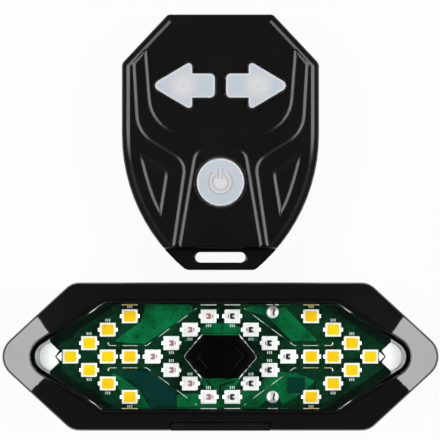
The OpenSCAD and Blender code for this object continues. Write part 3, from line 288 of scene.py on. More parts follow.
class Shell:
    """Points and faces of one piece in millimetres, gathered ring by ring."""

    def __init__(self):
        self.points = []
        self.faces = []

    def ring(self, flat, z):
        heights = np.broadcast_to(z, len(flat))
        first = len(self.points)
        self.points += [(p.real, p.imag, float(h)) for p, h in zip(flat, heights)]
        return list(range(first, len(self.points)))

    def wall(self, lower, upper):
        self.faces += zip(lower, lower[1:] + lower[:1], upper[1:] + upper[:1], upper)

    def skin(self, levels):
        """Walls through rings, each given with its height."""
        rings = [self.ring(flat, z) for flat, z in levels]
        for lower, upper in zip(rings, rings[1:]):
            self.wall(lower, upper)
        return rings

    def solid(self, levels):
        """The same, closed at both ends."""
        rings = self.skin(levels)
        self.close([rings[0]], [rings[-1]])
        return self

    def fill(self, loops, inner=(), height=None):
        """Closes the space inside the first loop and outside the others."""
        numbers = [i for loop in loops for i in loop]
        flat = [Vector(self.points[i][:2]) for i in numbers]
        lacking = set().union(*(sides_of(loop) for loop in loops))
        edges = []
        for loop in loops:
            first, count = len(edges), len(loop)
            edges += [(first + k, first + (k + 1) % count) for k in range(count)]
        if len(inner):
            numbers += self.ring(inner, height(inner))
            flat += [Vector((p.real, p.imag)) for p in inner]
        _, _, triangles, sources, _, _ = delaunay_2d_cdt(flat, edges, [], 0, join_r)
        corners = np.array([[numbers[sources[i][0]] for i in face] for face in triangles])
        places = flat_ring([point[:2] for point in self.points])
        middles = places[corners].mean(axis=1)
        legs = np.roll(places[corners], 1, axis=1) - places[corners]
        area = abs((legs[:, 0].conj() * legs[:, 1]).imag)
        thin = area < least_face_h * abs(legs).max(axis=1)
        kept = ~thin
        for k, loop in enumerate(loops):
            kept &= inside_ring(middles, places[loop]) == (k == 0)
        faces = corners[kept].tolist()
        for face in faces:
            lacking -= sides_of(face)
        faces += [face for face in corners[thin].tolist() if lacking & sides_of(face)]
        self.faces += [tuple(face) for face in faces]

    def close(self, *openings):
        """Fills several openings, each given by its loops."""
        for loops in openings:
            self.fill(loops)

    def turned(self, columns):
        """Reads the points along other axes, such as (2, 0, 1) for a profile drawn in Y and Z."""
        self.points = [tuple(point[c] for c in columns) for point in self.points]
        return self

    def moved(self, x, y, z):
        self.points = [(px + x, py + y, pz + z) for px, py, pz in self.points]
        return self

    def joined(self, other):
        first = len(self.points)
        self.points += other.points
        self.faces += [tuple(i + first for i in face) for face in other.faces]
        return self


def piece(shell, name, material, sharp=35.0):
    """Makes a shell a closed, smooth-shaded object in metres."""
    mesh = bpy.data.meshes.new(name)
    mesh.from_pydata([tuple(c * mm for c in point) for point in shell.points], [], shell.faces)
    work = bmesh.new()
    work.from_mesh(mesh)
    bmesh.ops.remove_doubles(work, verts=work.verts, dist=double_r)
    bmesh.ops.recalc_face_normals(work, faces=work.faces)
    if work.calc_volume(signed=True) < 0:
        bmesh.ops.reverse_faces(work, faces=work.faces)
    for face in work.faces:
        face.smooth = True
    work.to_mesh(mesh)
    work.free()
    mesh.set_sharp_from_angle(angle=math.radians(sharp))
    mesh.materials.append(material)
    return linked(name, mesh)


def finished(made, body, slot, *nodes):
    """Tells which body a piece rides on and which CAD nodes it stands for. The slot is not used."""
    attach(made, body)
    if nodes:
        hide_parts(*nodes)


def applied(made, tool):
    """Keeps what a modifier makes of a piece as its plain mesh, and removes the modifier's tool."""
    found = made.evaluated_get(bpy.context.evaluated_depsgraph_get())
    mesh = bpy.data.meshes.new_from_object(found)
    made.modifiers.clear()
    made.data = mesh
    bpy.data.objects.remove(tool)


def box_shell(low, high):
    shell = Shell()
    corners = flat_ring([low[:2], (high[0], low[1]), high[:2], (low[0], high[1])])
    bottom, top = shell.skin([(corners, low[2]), (corners, high[2])])
    shell.faces += [tuple(bottom[::-1]), tuple(top)]
    return shell


def cut_box(made, low, high):
    """Cuts a box out of a piece of the light."""
    cutter = piece(box_shell(low, high).moved(0, light_y, 0), "cutter", made.data.materials[0])
    modifier = made.modifiers.new("cut", "BOOLEAN")
    modifier.operation = "DIFFERENCE"
    modifier.solver = "EXACT"
    modifier.object = cutter
    applied(made, cutter)


def add_sockets(group, direction, kinds):
    """Gives a node group its named inputs or outputs."""
    for name, kind in kinds.items():
        group.interface.new_socket(name, in_out=direction, socket_type="NodeSocket" + kind)


skin_group = bpy.data.node_groups.new("moulded_skin", "ShaderNodeTree")
add_sockets(
    skin_group, "INPUT",
    {"Colour": "Color", "Tone shift": "Float", "Grain scale": "Float", "Roughness": "Float",
     "Roughness shift": "Float"})
add_sockets(skin_group, "OUTPUT", {"Colour": "Color", "Roughness": "Float", "Height": "Float"})
given = add_node(skin_group, "NodeGroupInput").outputs
cloud = noise(skin_group, scale=110.0, detail=5.0)
grain = noise(skin_group, given["Grain scale"])
centred = add_node(skin_group, "ShaderNodeMath", {0: cloud, 1: 0.5}, operation="SUBTRACT")
lighter = add_node(
    skin_group, "ShaderNodeMath", {0: centred, 1: given["Tone shift"], 2: 1.0}, operation="MULTIPLY_ADD")
toned = add_node(
    skin_group, "ShaderNodeVectorMath", {0: given["Colour"], "Scale": lighter}, operation="SCALE")
rougher = add_node(
    skin_group, "ShaderNodeMath", {0: centred, 1: given["Roughness shift"], 2: given["Roughness"]},
    operation="MULTIPLY_ADD")
add_node(skin_group, "NodeGroupOutput", {"Colour": toned, "Roughness": rougher, "Height": grain})


def bumped(tree, height, strength, distance):
    return add_node(
        tree, "ShaderNodeBump", {"Height": height, "Strength": strength, "Distance": distance})


def skin_of(tree, colour, roughness, tone_shift, roughness_shift, grain_scale, grain_depth, grain_h=4e-6):
    """Places the skin group in a material and gives what the shader takes from it."""
    skin = add_node(
        tree, "ShaderNodeGroup",
        {"Colour": (*colour, 1), "Tone shift": tone_shift, "Grain scale": grain_scale,
         "Roughness": roughness, "Roughness shift": roughness_shift}, node_tree=skin_group).outputs
    bump = bumped(tree, skin["Height"], grain_depth, grain_h)
    return {"Base Color": skin["Colour"], "Roughness": skin["Roughness"], "Normal": bump}


def principled(tree, values):
    """Ends a material in its shader."""
    shader = add_node(tree, "ShaderNodeBsdfPrincipled", values)
    add_node(tree, "ShaderNodeOutputMaterial", {"Surface": shader})


def moulded(name, colour, roughness, tone_shift=0.5, roughness_shift=0.15, grain_scale=5000.0,
            grain_depth=0.4, metallic=0.0, shader_values=None):
    """Finish of a moulded or cast piece, with uneven tone and gloss and a fine grain."""
    material, tree = new_material(name)
    skin = skin_of(tree, colour, roughness, tone_shift, roughness_shift, grain_scale, grain_depth)
    principled(tree, {**skin, "Metallic": metallic, **(shader_values or {})})
    return material


light_shape = long_hexagon(light_len, light_h, light_flat, light_tip_r, light_corner_r)
window_shape = long_hexagon(window_len, window_h, window_flat, window_tip_r, window_corner_r)
window_ring = rounded(window_shape, corner_steps=24)
blunt_radii = [blunt_tip_r if y == 0 else window_corner_r for _, y in window_shape[0]]
blunt_ring = rounded((window_shape[0], blunt_radii), corner_steps=48)


def window_line(inset):
    return rounded(window_shape, inset, corner_steps=24, edge_steps=16)


def light_line(inset):
    """Outline of the light, moved inwards, with each point straight out from one of the window's."""
    start = window_line(0)[:, None]
    outward = window_line(-1)[:, None] - start
    ring = rounded(light_shape, inset, corner_steps=24)[None, :]
    edge = np.roll(ring, -1, axis=1) - ring
    across = (outward.conj() * edge).imag
    across = np.where(abs(across) < parallel, parallel, across)
    reach = ((ring - start).conj() * edge).imag / across
    share = ((ring - start).conj() * outward).imag / across
    hit = (reach > 0) & (share >= -hit_slack) & (share <= 1 + hit_slack)
    return start[:, 0] + outward[:, 0] * np.where(hit, reach, np.inf).min(axis=1)


def rim_line(inset):
    """Line on the window's rim, which is wide at the tips and narrow along the sides."""
    inner = window_line(0)
    share = np.clip(1 - (rim_wide_x - abs(inner.real)) / rim_widening, 0, 1)
    share = share ** 2 * (3 - 2 * share)
    narrow = side_rim_w / rim_w
    return inner + (window_line(-inset) - inner) * (narrow + (1 - narrow) * share)


def front_height(flat):
    """Height of the bezel's sloped front over a point."""
    return rim_z - (ring_distance(flat, window_ring) - rim_w) * bezel_fall


def blunt_height(flat):
    """Height of a front whose tips are rounder, so that the lamps' light spreads over them."""
    return -ring_distance(flat, blunt_ring) * bezel_fall


def on_slope(flat):
    past_rim = ring_distance(flat, window_ring) > rim_w + crest / 2
    return past_rim & (ring_distance(flat, rounded(light_shape)) > bezel_edge * 0.9)


def from_above(made, off_y):
    """Points of a piece as seen from above, with their heights."""
    places = np.empty(3 * len(made.data.vertices))
    made.data.vertices.foreach_get("co", places)
    x, y, z = places.reshape(-1, 3).T / mm
    return x + 1j * (y - off_y), z


def shade_as(made, height, off_y, on_face, softened=None):
    """Gives the points of a sculpted face the slope of its height, or of a softened one, as normals."""
    flat, z = from_above(made, off_y)
    chosen = (abs(z - height(flat)) < face_slack) & on_face(flat)
    height = softened or height
    normals = np.ones((len(flat), 3))
    for column, step in enumerate((probe, 1j * probe)):
        normals[:, column] = (height(flat - step) - height(flat + step)) / (2 * probe)
    normals /= np.linalg.norm(normals, axis=1)[:, None]
    normals[~chosen] = 0
    made.data.normals_split_custom_set_from_vertices(normals.tolist())


gloss_black = moulded(
    "gloss_black", (0.0025, 0.0025, 0.0026), 0.06, roughness_shift=0.05, grain_scale=900.0,
    grain_depth=0.05,
    shader_values={"IOR": 1.6, "Coat Weight": 1.0, "Coat Roughness": 0.03, "Coat IOR": 1.6})
outer_line = light_line(bezel_edge)
crest_line = window_line(-rim_w - crest)
slope_lines = [outer_line + (crest_line - outer_line) * share for share in slope_shares]
bezel_shell = Shell()
bezel_rings = bezel_shell.skin(
    [(light_line(seam), part_z),
     (light_line(0), part_z + seam),
     (light_line(0), front_height(light_line(0)) - bezel_edge),
     (light_line(bezel_edge * 0.3), front_height(light_line(0)) - bezel_edge * 0.35)]
    + [(line, front_height(line)) for line in slope_lines]
    + [(window_line(-rim_w), rim_z - crest * 0.25),
       (rim_line(rim_w - crest * 0.3), rim_z - crest * 0.2),
       (rim_line(rim_w - crest), rim_z - crest * 1.2),
       (window_line(0), rim_z - rim_d),
       (window_line(0), flange_z),
       (window_line(-flange_w - lens_gap), flange_z),
       (window_line(-flange_w - lens_gap), part_z)])
bezel_shell.wall(bezel_rings[-1], bezel_rings[0])
bezel = piece(bezel_shell.moved(0, light_y, 0), "front_bezel_moulding", gloss_black, sharp=42.0)
cover_x = cover_w / 2 + cover_gap
cover_edge = -light_h / 2 + cover_t + cover_gap
cut_box(bezel, (-cover_x, -light_h, 0), (cover_x, cover_edge, 2 * rim_z))
shade_as(bezel, front_height, light_y, on_slope, blunt_height)
finished(bezel, "light", "gloss_black", "front_bezel")

# Clear window of the light.
# One piece of clear acrylic with a bevelled edge, a raised arrow-and-hexagon panel and a hole for
# the key. Its flange is clamped between the bezel's lip and the gasket on the circuit board.
lens_low, lens_high = span("lens")
lens_bevel = 0.12
panel_h, panel_corner_r, panel_slope_w = 0.4, 0.5, 0.12
panel_tip_x, panel_head, panel_knee_y, panel_edge_w = 36.1, 10.2, 3.8, 2.5
panel_shaft_y, panel_hex_x, panel_hex_flat, panel_y = 2.45, 16.2, 5.1, 10.7
button_len, button_h, button_flat, button_corner_r = 15.2, 9.0, 7.6, 0.5
key_gap = 0.25
hole_chamfer_w, hole_chamfer_d = 0.3, 0.15
lens_top = lens_high.z - panel_h


def evenly(shape_points, radius):
    return shape_points, [radius] * len(shape_points)


def panel_outline(grow):
    """Arrow heads at both ends, joined to the hexagon in the middle by their shafts.

    Shafts and hexagon move outwards by grow, so that the panel's sides slope there. The edges of the
    heads stay upright."""
    apex = window_shape[0][0][0]
    slope = (apex - window_flat / 2) / (window_h / 2)
    outer_x = apex - panel_edge_w * math.hypot(1, slope)
    notch_x = panel_tip_x - panel_head
    head_y = panel_y - panel_shaft_y
    lean = (panel_hex_x - panel_hex_flat) / head_y
    hex_x = panel_hex_x + grow * math.hypot(1, lean)
    shaft_y = panel_shaft_y + grow
    quarter = [
        (outer_x - panel_knee_y * slope, panel_knee_y),
        (outer_x - panel_y * slope, panel_y),
        (notch_x - head_y * slope, panel_y),
        (notch_x - grow * slope, shaft_y),
        (hex_x - grow * lean, shaft_y),
        (hex_x - head_y * lean, panel_y)]
    upper = quarter + [(-x, y) for x, y in reversed(quarter)]
    lower = [(-x, -y) for x, y in upper]
    return evenly([(panel_tip_x, 0)] + upper + [(-panel_tip_x, 0)] + lower, panel_corner_r)


def clear_plastic(name, tint, ior):
    """Clear moulding that bends what is seen through it and lets the lamps' light in."""
    material, tree = new_material(name)
    skin = skin_of(
        tree, tint, roughness=0.0, tone_shift=0.03, roughness_shift=0.02, grain_scale=500.0,
        grain_depth=0.05, grain_h=2e-6)
    glass = add_node(
        tree, "ShaderNodeBsdfPrincipled", {**skin, "IOR": ior, "Transmission Weight": 1.0})
    path = add_node(tree, "ShaderNodeLightPath")
    clear = add_node(tree, "ShaderNodeBsdfTransparent", {"Color": (*tint, 1)})
    both = add_node(
        tree, "ShaderNodeMixShader", {0: path.outputs["Is Shadow Ray"], 1: glass, 2: clear})
    add_node(tree, "ShaderNodeOutputMaterial", {"Surface": both})
    return material


button_corners = six_corners(button_len / 2, button_flat / 2, button_h / 2)
button_shape = evenly(button_corners, button_corner_r)
clear_window = clear_plastic("clear_window", (0.985, 0.995, 0.99), ior=1.49)
lens_shell = Shell()
lens_edge = lens_shell.skin([
    (window_line(-flange_w), lens_low.z),
    (window_line(-flange_w), flange_z),
    (window_line(lens_gap), flange_z),
    (window_line(lens_gap), lens_top - lens_bevel),
    (window_line(lens_gap + lens_bevel), lens_top)])
panel_edge = lens_shell.skin([
    (rounded(panel_outline(panel_slope_w / 2)), lens_top),
    (rounded(panel_outline(-panel_slope_w / 2)), lens_top + panel_h)])
hole_edge = lens_shell.skin([
    (rounded(button_shape, -key_gap - hole_chamfer_w), lens_top + panel_h),
    (rounded(button_shape, -key_gap), lens_top + panel_h - hole_chamfer_d),
    (rounded(button_shape, -key_gap), lens_low.z)])
lens_shell.close(
    [lens_edge[-1], panel_edge[0]], [panel_edge[-1], hole_edge[0]], [lens_edge[0], hole_edge[-1]])
lens = piece(lens_shell.moved(0, light_y, 0), "window_moulding", clear_window, sharp=20.0)
finished(lens, "light", "clear_window", "lens")

# Key of the light and its switch.
# A black key with a bevelled edge and a dished face sits in the window's hole, held in by a flange
# under the window. A pocket in its back takes the switch, whose red plunger it pushes.
button_low, button_high = span("mode_button")
button_bevel, button_border, button_dish = 0.7, 1.9, 0.4
button_flange_w, button_flange_t = 0.6, 0.6
switch_low, switch_high = span("mode_switch")
switch_gap, pocket_r = 0.3, 0.3
plunger_top = span("mode_switch_plunger")[1].z


def rectangle(width, height, radius):
    x, y = width / 2, height / 2
    return evenly([(-x, -y), (x, -y), (x, y), (-x, y)], radius)


def dressed(finishes):
    """Gives CAD nodes that keep their shape finishes of their own."""
    for node, material in finishes.items():
        for material_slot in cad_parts[node].material_slots:
            material_slot.material = material


def button_line(inset):
    return rounded(button_shape, inset)


key_black = moulded("key_black", (0.0012, 0.0012, 0.0013), 0.16, grain_depth=0.2)
switch_size = switch_high - switch_low
pocket = rounded(rectangle(switch_size.x + 2 * switch_gap, switch_size.y + 2 * switch_gap, pocket_r))
flange_top_z = button_low.z + button_flange_t
button_shell = Shell()
pocket_rings = button_shell.skin([(pocket, plunger_top), (pocket, button_low.z)])
button_rings = button_shell.skin([
    (button_line(-button_flange_w), button_low.z),
    (button_line(-button_flange_w), flange_top_z),
    (button_line(0), flange_top_z),
    (button_line(0), button_high.z - button_bevel * 0.7),
    (button_line(button_bevel * 0.3), button_high.z - button_bevel * 0.2),
    (button_line(button_bevel), button_high.z),
    (button_line(button_border), button_high.z),
    (button_line(button_border + 0.4 * button_dish), button_high.z - button_dish * 0.9),
    (button_line(button_border + button_dish), button_high.z - button_dish)])
button_shell.close([pocket_rings[0]], [button_rings[0], pocket_rings[-1]], [button_rings[-1]])
button = piece(button_shell.moved(0, light_y, 0), "mode_key_moulding", key_black, sharp=30.0)
finished(button, "mode_key", "key_black", "mode_button")
switch_black = moulded("switch_black", (0.012, 0.012, 0.013), 0.35)
plunger_red = moulded("plunger_red", (0.35, 0.012, 0.01), 0.4)
dressed({"mode_switch": switch_black, "mode_switch_plunger": plunger_red})

# Circuit board of the light.
# Glass-fibre board under green solder mask. The mask looks brighter over copper areas, which are
# laid on it as thin raised plates, and bluish over two areas without copper.
board_z = span("light_circuit_board")[1].z
copper_t, unshaded_t, bare_t, sunk, area_corner_r = 0.035, 0.014, 0.056, 0.05, 0.25
unshaded_share_x, unshaded_share_y = 0.9, 0.98
pours = [
    [(-23.5, 3.3), (-16.6, 2.8), (-6.0, 10.2), (-6.4, 11.2), (-16.5, 11.2), (-17.6, 7.6)],
    [(15.8, 3.4), (21.5, 3.4), (14.2, 10.8), (6.6, 11.2), (5.4, 10.4), (10.6, 8.6)],
    [(-5.4, 5.1), (5.2, 5.1), (7.4, 3.2), (8.6, 3.6), (2.6, 7.4), (-2.4, 7.4), (-8.4, 3.4), (-7.2, 3.2)],
    [(-9.6, -11.2), (8.4, -11.2), (16.4, -3.6), (12.8, -3.4), (4.2, -7.6), (-5.4, -8.2), (-9.6, -8.4)],
    [(-20.6, -11.2), (-15.6, -11.2), (-17.8, -7.4), (-21.8, -4.6), (-24.2, -3.4), (-22.4, -7.0)],
    [(13.6, -10.6), (17.6, -8.2), (20.8, -5.4), (16.4, -3.4), (12.4, -7.4)],
    [(-5.0, -5.0), (-2.2, -8.2), (2.0, -8.2), (4.6, -5.0)]]
bare_areas = [
    [(-25.4, -3.2), (-16.4, -3.2), (-9.9, -7.4), (-9.9, -10.9), (-15.2, -10.9), (-17.4, -7.2),
     (-21.4, -4.2)],
    [(14.6, -8.1), (18.6, -8.1), (18.6, -4.6), (14.6, -4.6)]]


def prism(flat, low_z, high_z):
    return Shell().solid([(flat, low_z), (flat, high_z)])


def solder_mask(name, colour, clouds):
    """Glossy lacquer over the board, with cloudy tone and the weave of the glass cloth below."""
    material, tree = new_material(name)
    deep = tuple(c * (1 - clouds) for c in colour)
    light = tuple(c * (1 + clouds) for c in colour)
    tone = ramp(tree, noise(tree, scale=210.0, detail=3.0), [(0.35, deep), (0.65, light)])
    weave = add_node(
        tree, "ShaderNodeTexWave", {"Vector": own_place(tree), "Scale": 900.0, "Distortion": 1.5})
    bump = bumped(tree, weave.outputs["Fac"], strength=0.15, distance=5e-6)
    principled(tree, {"Base Color": tone, "Roughness": 0.14, "IOR": 1.5, "Normal": bump})
    return material


def laid(outlines, height, name, material):
    """Flat areas of the board, each a thin plate with slightly rounded corners."""
    shell = Shell()
    for outline in outlines:
        flat = rounded(evenly(outline, area_corner_r), corner_steps=4)
        shell.joined(prism(flat, board_z - sunk, board_z + height))
    finished(piece(shell.moved(0, light_y, 0), name, material), "light", "board_green")


# The darkest mask: in the window it shows as the dark tracks and as painted shade in a strip along the
# edges.
board_green = solder_mask("board_green", (0.0012, 0.0085, 0.005), clouds=0.4)
inner_green = solder_mask("inner_green", (0.0009, 0.026, 0.0095), clouds=0.5)
copper_green = solder_mask("copper_green", (0.0005, 0.112, 0.032), clouds=0.45)
bare_teal = solder_mask("bare_teal", (0.0006, 0.032, 0.025), clouds=0.2)
dressed({"light_circuit_board": board_green})
# A lighter mask covers the window's outline, shrunk most in length. The darker mask left along the
# slanted edges and tips is painted shade for the dark bands there.
ground_area = [(x * unshaded_share_x, y * unshaded_share_y) for x, y in window_shape[0]]
laid([ground_area], unshaded_t, "ground_area", inner_green)
laid(pours, copper_t, "copper_areas", copper_green)
laid(bare_areas, bare_t, "bare_areas", bare_teal)

# LEDs of the light.
# White plastic packages soldered to the board: eighteen filled with amber resin make the two arrows
# and fourteen open ones with dark dies make the ring. Each stands on two tinned terminals.
led_len, led_w, led_h, led_corner_r, corner_cut = 3.5, 3.1, 0.8, 0.1, 0.25
led_taper, led_waist_z, led_edge_w, led_edge_d = 0.06, 0.3, 0.1, 0.05
well_len, well_w, well_d, well_r, well_taper = 2.65, 2.35, 0.4, 0.4, 0.14
resin_gap, resin_side, resin_edge_d, resin_crown_w, resin_crown_d = 0.01, 0.03, 0.06, 0.3, 0.03
die_w, die_l, die_t, die_notch = 0.95, 1.25, 0.2, 0.42
bond_w, bond_l, bond_x = 0.16, 0.7, 0.85
led_step_x, led_step_y = 4.1, 2.96
arrow_tip_x, arrow_wing_x, ring_tip_x = 33.0, 19.95, 14.9
terminal_len, terminal_w, terminal_h, terminal_toe_h, terminal_sunk = 0.4, 0.8, 0.3, 0.12, 0.1

spots_tree = bpy.data.node_groups.new("set_on_spots", "GeometryNodeTree")
add_sockets(
    spots_tree, "INPUT", {"Spots": "Geometry", "Piece": "Object", "Finish": "Material", "Seed": "Int"})
add_sockets(spots_tree, "OUTPUT", {"Pieces": "Geometry"})
spots_inputs = {
    item.name: item.identifier for item in spots_tree.interface.items_tree if item.in_out == "INPUT"}
given = add_node(spots_tree, "NodeGroupInput").outputs
template = add_node(spots_tree, "GeometryNodeObjectInfo", {"Object": given["Piece"]})
turn = add_node(spots_tree, "GeometryNodeInputNamedAttribute", {"Name": "turn"}, data_type="FLOAT")
turn_angles = add_node(spots_tree, "ShaderNodeCombineXYZ", {"Z": turn.outputs["Attribute"]})
rotation = add_node(spots_tree, "FunctionNodeEulerToRotation", {"Euler": turn_angles})
placed = add_node(
    spots_tree, "GeometryNodeInstanceOnPoints",
    {"Points": given["Spots"], "Instance": template.outputs["Geometry"], "Rotation": rotation})
number = add_node(spots_tree, "FunctionNodeRandomValue", {"Seed": given["Seed"]}, data_type="FLOAT")
batch = add_node(
    spots_tree, "GeometryNodeStoreNamedAttribute",
    {"Geometry": placed, "Name": "batch", "Value": number.outputs[1]},
    data_type="FLOAT", domain="INSTANCE")
realized = add_node(spots_tree, "GeometryNodeRealizeInstances", {"Geometry": batch})
coated = add_node(
    spots_tree, "GeometryNodeSetMaterial", {"Geometry": realized, "Material": given["Finish"]})
add_node(spots_tree, "NodeGroupOutput", {"Pieces": coated})


def set_on_spots(shell, name, material, spots, seed, sharp=35.0):
    """Sets copies of one shell on spots (x, y, z, turn), each with a batch number of its own."""
    template = piece(shell, name + "_template", material, sharp)
    mesh = bpy.data.meshes.new(name)
    mesh.from_pydata([(x * mm, y * mm, z * mm) for x, y, z, _ in spots], [], [])
    turns = mesh.attributes.new("turn", "FLOAT", "POINT")
    turns.data.foreach_set("value", [spot[3] for spot in spots])
    made = linked(name, mesh)
    modifier = made.modifiers.new("set_on_spots", "NODES")
    modifier.node_group = spots_tree
    for input_name, value in (("Piece", template), ("Finish", material), ("Seed", seed)):
        modifier[spots_inputs[input_name]] = value
    applied(made, template)
    return made


def wing(tip_x, count):
    """LED places on the two slanted rows that run back from a tip."""
    places = [(tip_x, 0.0)]
    for k in range(1, count):
        places += [(tip_x - k * led_step_x, k * led_step_y), (tip_x - k * led_step_x, -k * led_step_y)]
    return places


def led_spots(places):
    """Places on the right and, turned round, the same on the left."""
    right = [(x, y + light_y, board_z, 0.0) for x, y in places]
    left = [(-x, y + light_y, board_z, math.pi) for x, y in places]
    return right + left


def led_line(inset):
    return rounded(led_outline, inset, 4)


def well_line(inset):
    return rounded(well_shape, inset, 6)


def strip(route, width):
    """Outline of a flat track that follows a route of points."""
    middle = flat_ring(route)
    legs = np.diff(middle)
    legs /= abs(legs)
    before = np.concatenate([legs[:1], legs])
    after = np.concatenate([legs, legs[-1:]])
    side = 1j * (before + after) / (1 + (before * after.conj()).real) * width / 2
    return np.concatenate([middle - side, (middle + side)[::-1]])


wing_y = 3 * led_step_y
shaft_x = arrow_tip_x - 2 * led_step_x
amber_spots = led_spots(
    wing(arrow_tip_x, 3)
    + [(arrow_wing_x, wing_y), (arrow_wing_x, -wing_y), (shaft_x, 0.0), (arrow_wing_x, 0.0)])
ring_spots = led_spots(wing(ring_tip_x, 4))
led_x, led_y = led_len / 2, led_w / 2
well_floor = led_h - well_d
led_outline = (
    [(-led_x, -led_y), (led_x, -led_y), (led_x, led_y), (corner_cut - led_x, led_y),
     (-led_x, led_y - corner_cut)], [led_corner_r, led_corner_r, led_corner_r, 0.0, 0.0])
well_shape = rectangle(well_len, well_w, well_r)
package_shell = Shell()
package_rings = package_shell.skin([
    (led_line(led_taper), 0.0),
    (led_line(0.0), led_waist_z),
    (led_line(led_taper), led_h - led_edge_d),
    (led_line(led_edge_w), led_h)])
well_rings = package_shell.skin([(well_line(0.0), led_h), (well_line(well_taper), well_floor)])
package_shell.close([package_rings[0]], [package_rings[-1], well_rings[0]], [well_rings[-1]])
led_white = moulded("led_white", (0.94, 0.94, 0.94), 0.45, tone_shift=0.06)
amber_bodies = set_on_spots(package_shell, "amber_led_bodies", led_white, amber_spots, seed=11)
finished(amber_bodies, "light", "led_white", "amber_led_packages")
ring_bodies = set_on_spots(package_shell, "ring_led_bodies", led_white, ring_spots, seed=12)
finished(ring_bodies, "light", "led_white", "ring_led_packages")

led_amber, tree = new_material("led_amber")
batch_tone = add_node(tree, "ShaderNodeAttribute", attribute_name="batch").outputs["Fac"]
amber_tone = ramp(tree, batch_tone, [(0.0, (0.97, 0.56, 0.002)), (1.0, (0.95, 0.65, 0.002))])
speck = bumped(tree, noise(tree, scale=2500.0), strength=0.2, distance=1e-5)
principled(tree, {"Base Color": amber_tone, "Roughness": 0.18, "Normal": speck})
resin_shell = Shell().solid([
    (well_line(well_taper + resin_gap), well_floor + resin_gap),
    (well_line(resin_side), led_h - resin_edge_d),
    (well_line(resin_crown_w), led_h - resin_crown_d)])
amber_resin = set_on_spots(resin_shell, "amber_led_resin", led_amber, amber_spots, seed=13)
finished(amber_resin, "light", "led_amber", "amber_led_emitters")

led_red, tree = new_material("led_red")
across = add_node(tree, "ShaderNodeSeparateXYZ", {0: own_place(tree)})
right_string = add_node(
    tree, "ShaderNodeMapRange", {"Value": across.outputs["X"], "From Min": -mm, "From Max": mm})
die_tone = ramp(tree, right_string, [(0.0, (0.36, 0.17, 0.16)), (1.0, (0.012, 0.007, 0.008))])
die_rough = add_node(
    tree, "ShaderNodeMapRange", {"Value": noise(tree, scale=6000.0), "To Min": 0.25, "To Max": 0.45})
principled(tree, {"Base Color": die_tone, "Roughness": die_rough})
die_x, die_y, notch_y = die_w / 2, die_l / 2, die_notch / 2
notch_x = die_x - die_notch
die_outline = flat_ring([
    (-die_x, -die_y), (die_x, -die_y), (die_x, -notch_y), (notch_x, -notch_y),
    (notch_x, notch_y), (die_x, notch_y), (die_x, die_y), (-die_x, die_y)])
bond_wire = strip([(-bond_x, -bond_l / 2), (-bond_x, bond_l / 2)], bond_w)
die_shell = prism(die_outline, well_floor, well_floor + die_t)
die_shell.joined(prism(bond_wire, well_floor, well_floor + die_t / 2))
dies = set_on_spots(die_shell, "ring_led_chips", led_red, ring_spots, seed=14)
finished(dies, "light", "led_red", "ring_led_dies")

terminal_shell = Shell()
for end in (-1, 1):
    inner_x, outer_x = end * (led_x - terminal_sunk), end * (led_x + terminal_len)
    tab = flat_ring([(inner_x, 0), (outer_x, 0), (outer_x, terminal_toe_h), (inner_x, terminal_h)])
    terminal_shell.joined(prism(tab, -terminal_w / 2, terminal_w / 2).turned((0, 2, 1)))
solder = moulded("solder", (0.78, 0.79, 0.8), 0.25, tone_shift=0.2, grain_scale=2500.0, metallic=1.0)
terminals = set_on_spots(
    terminal_shell, "led_terminal_tabs", solder, amber_spots + ring_spots, seed=15)
finished(terminals, "light", "solder", "led_terminals")

# Plated holes, tracks and printed marks of the circuit board.
# Small plated holes stand in rows on the copper areas, and dark tracks run below and beside the key.
# A printed mark of three ticks stands beside each LED of the slanted rows.
hole_step, hole_row_step, hole_ring_r, hole_r, hole_clear = 2.5, 2.0, 0.3, 0.18, 2.5
track_w = 0.3
track_routes = [
    [(-3.4, -4.9), (-1.6, -7.0), (-1.6, -8.2)], [(-0.1, -8.2), (-0.1, -6.4), (2.8, -5.6), (3.5, -4.9)],
    [(-9.6, 2.0), (-7.6, 0.2), (-9.4, -2.2)], [(9.4, 2.4), (7.8, 0.6), (9.6, -1.8)]]
tick_w, tick_l, tick_r, tick_gap, tick_count = 0.2, 0.65, 0.05, 0.42, 3
mark_t, mark_gap = 0.02, 0.52


def staggered(width, length, step, row_step):
    """Points in rows, with every other row moved along by half a step."""
    rows = np.arange(-length / 2, length / 2, row_step)
    grid = np.arange(-width / 2, width / 2, step) + 1j * rows[:, None]
    grid[1::2] += step / 2
    return grid.ravel()


def disc(radius, x=0.0, y=0.0, steps=40):
    return np.exp(2j * math.pi * np.arange(steps) / steps) * radius + complex(x, y)


grid = staggered(window_len, window_h, hole_step, hole_row_step)
on_copper = np.zeros(len(grid), bool)
for pour in pours:
    edge = flat_ring(pour)
    on_copper |= inside_ring(grid, edge) & (ring_distance(grid, edge) > 2 * hole_ring_r)
led_places = flat_ring([(x, y - light_y) for x, y, _, _ in amber_spots + ring_spots])
clear_of_leds = abs(grid[:, None] - led_places[None, :]).min(axis=1) > hole_clear
hole_spots = [
    (p.real, p.imag + light_y, board_z + copper_t, 0.0) for p in grid[on_copper & clear_of_leds]]
hole_line, plating_line = disc(hole_r, steps=16), disc(hole_ring_r, steps=16)
plating_shell = Shell()
plating_rings = plating_shell.skin([
    (hole_line, -sunk), (hole_line, mark_t), (plating_line, mark_t), (plating_line, -sunk)])
plating_shell.wall(plating_rings[-1], plating_rings[0])
plated_holes = set_on_spots(plating_shell, "plated_holes", inner_green, hole_spots, seed=18)
finished(plated_holes, "light", "board_green")
track_shell = Shell()
for route in track_routes:
    track_shell.joined(prism(strip(route, track_w), board_z - sunk, board_z + 2 * copper_t))
finished(piece(track_shell.moved(0, light_y, 0), "dark_tracks", board_green), "light", "board_green")
tick = rounded(rectangle(tick_w, tick_l, tick_r), 0, 2)
tick_shell = Shell()
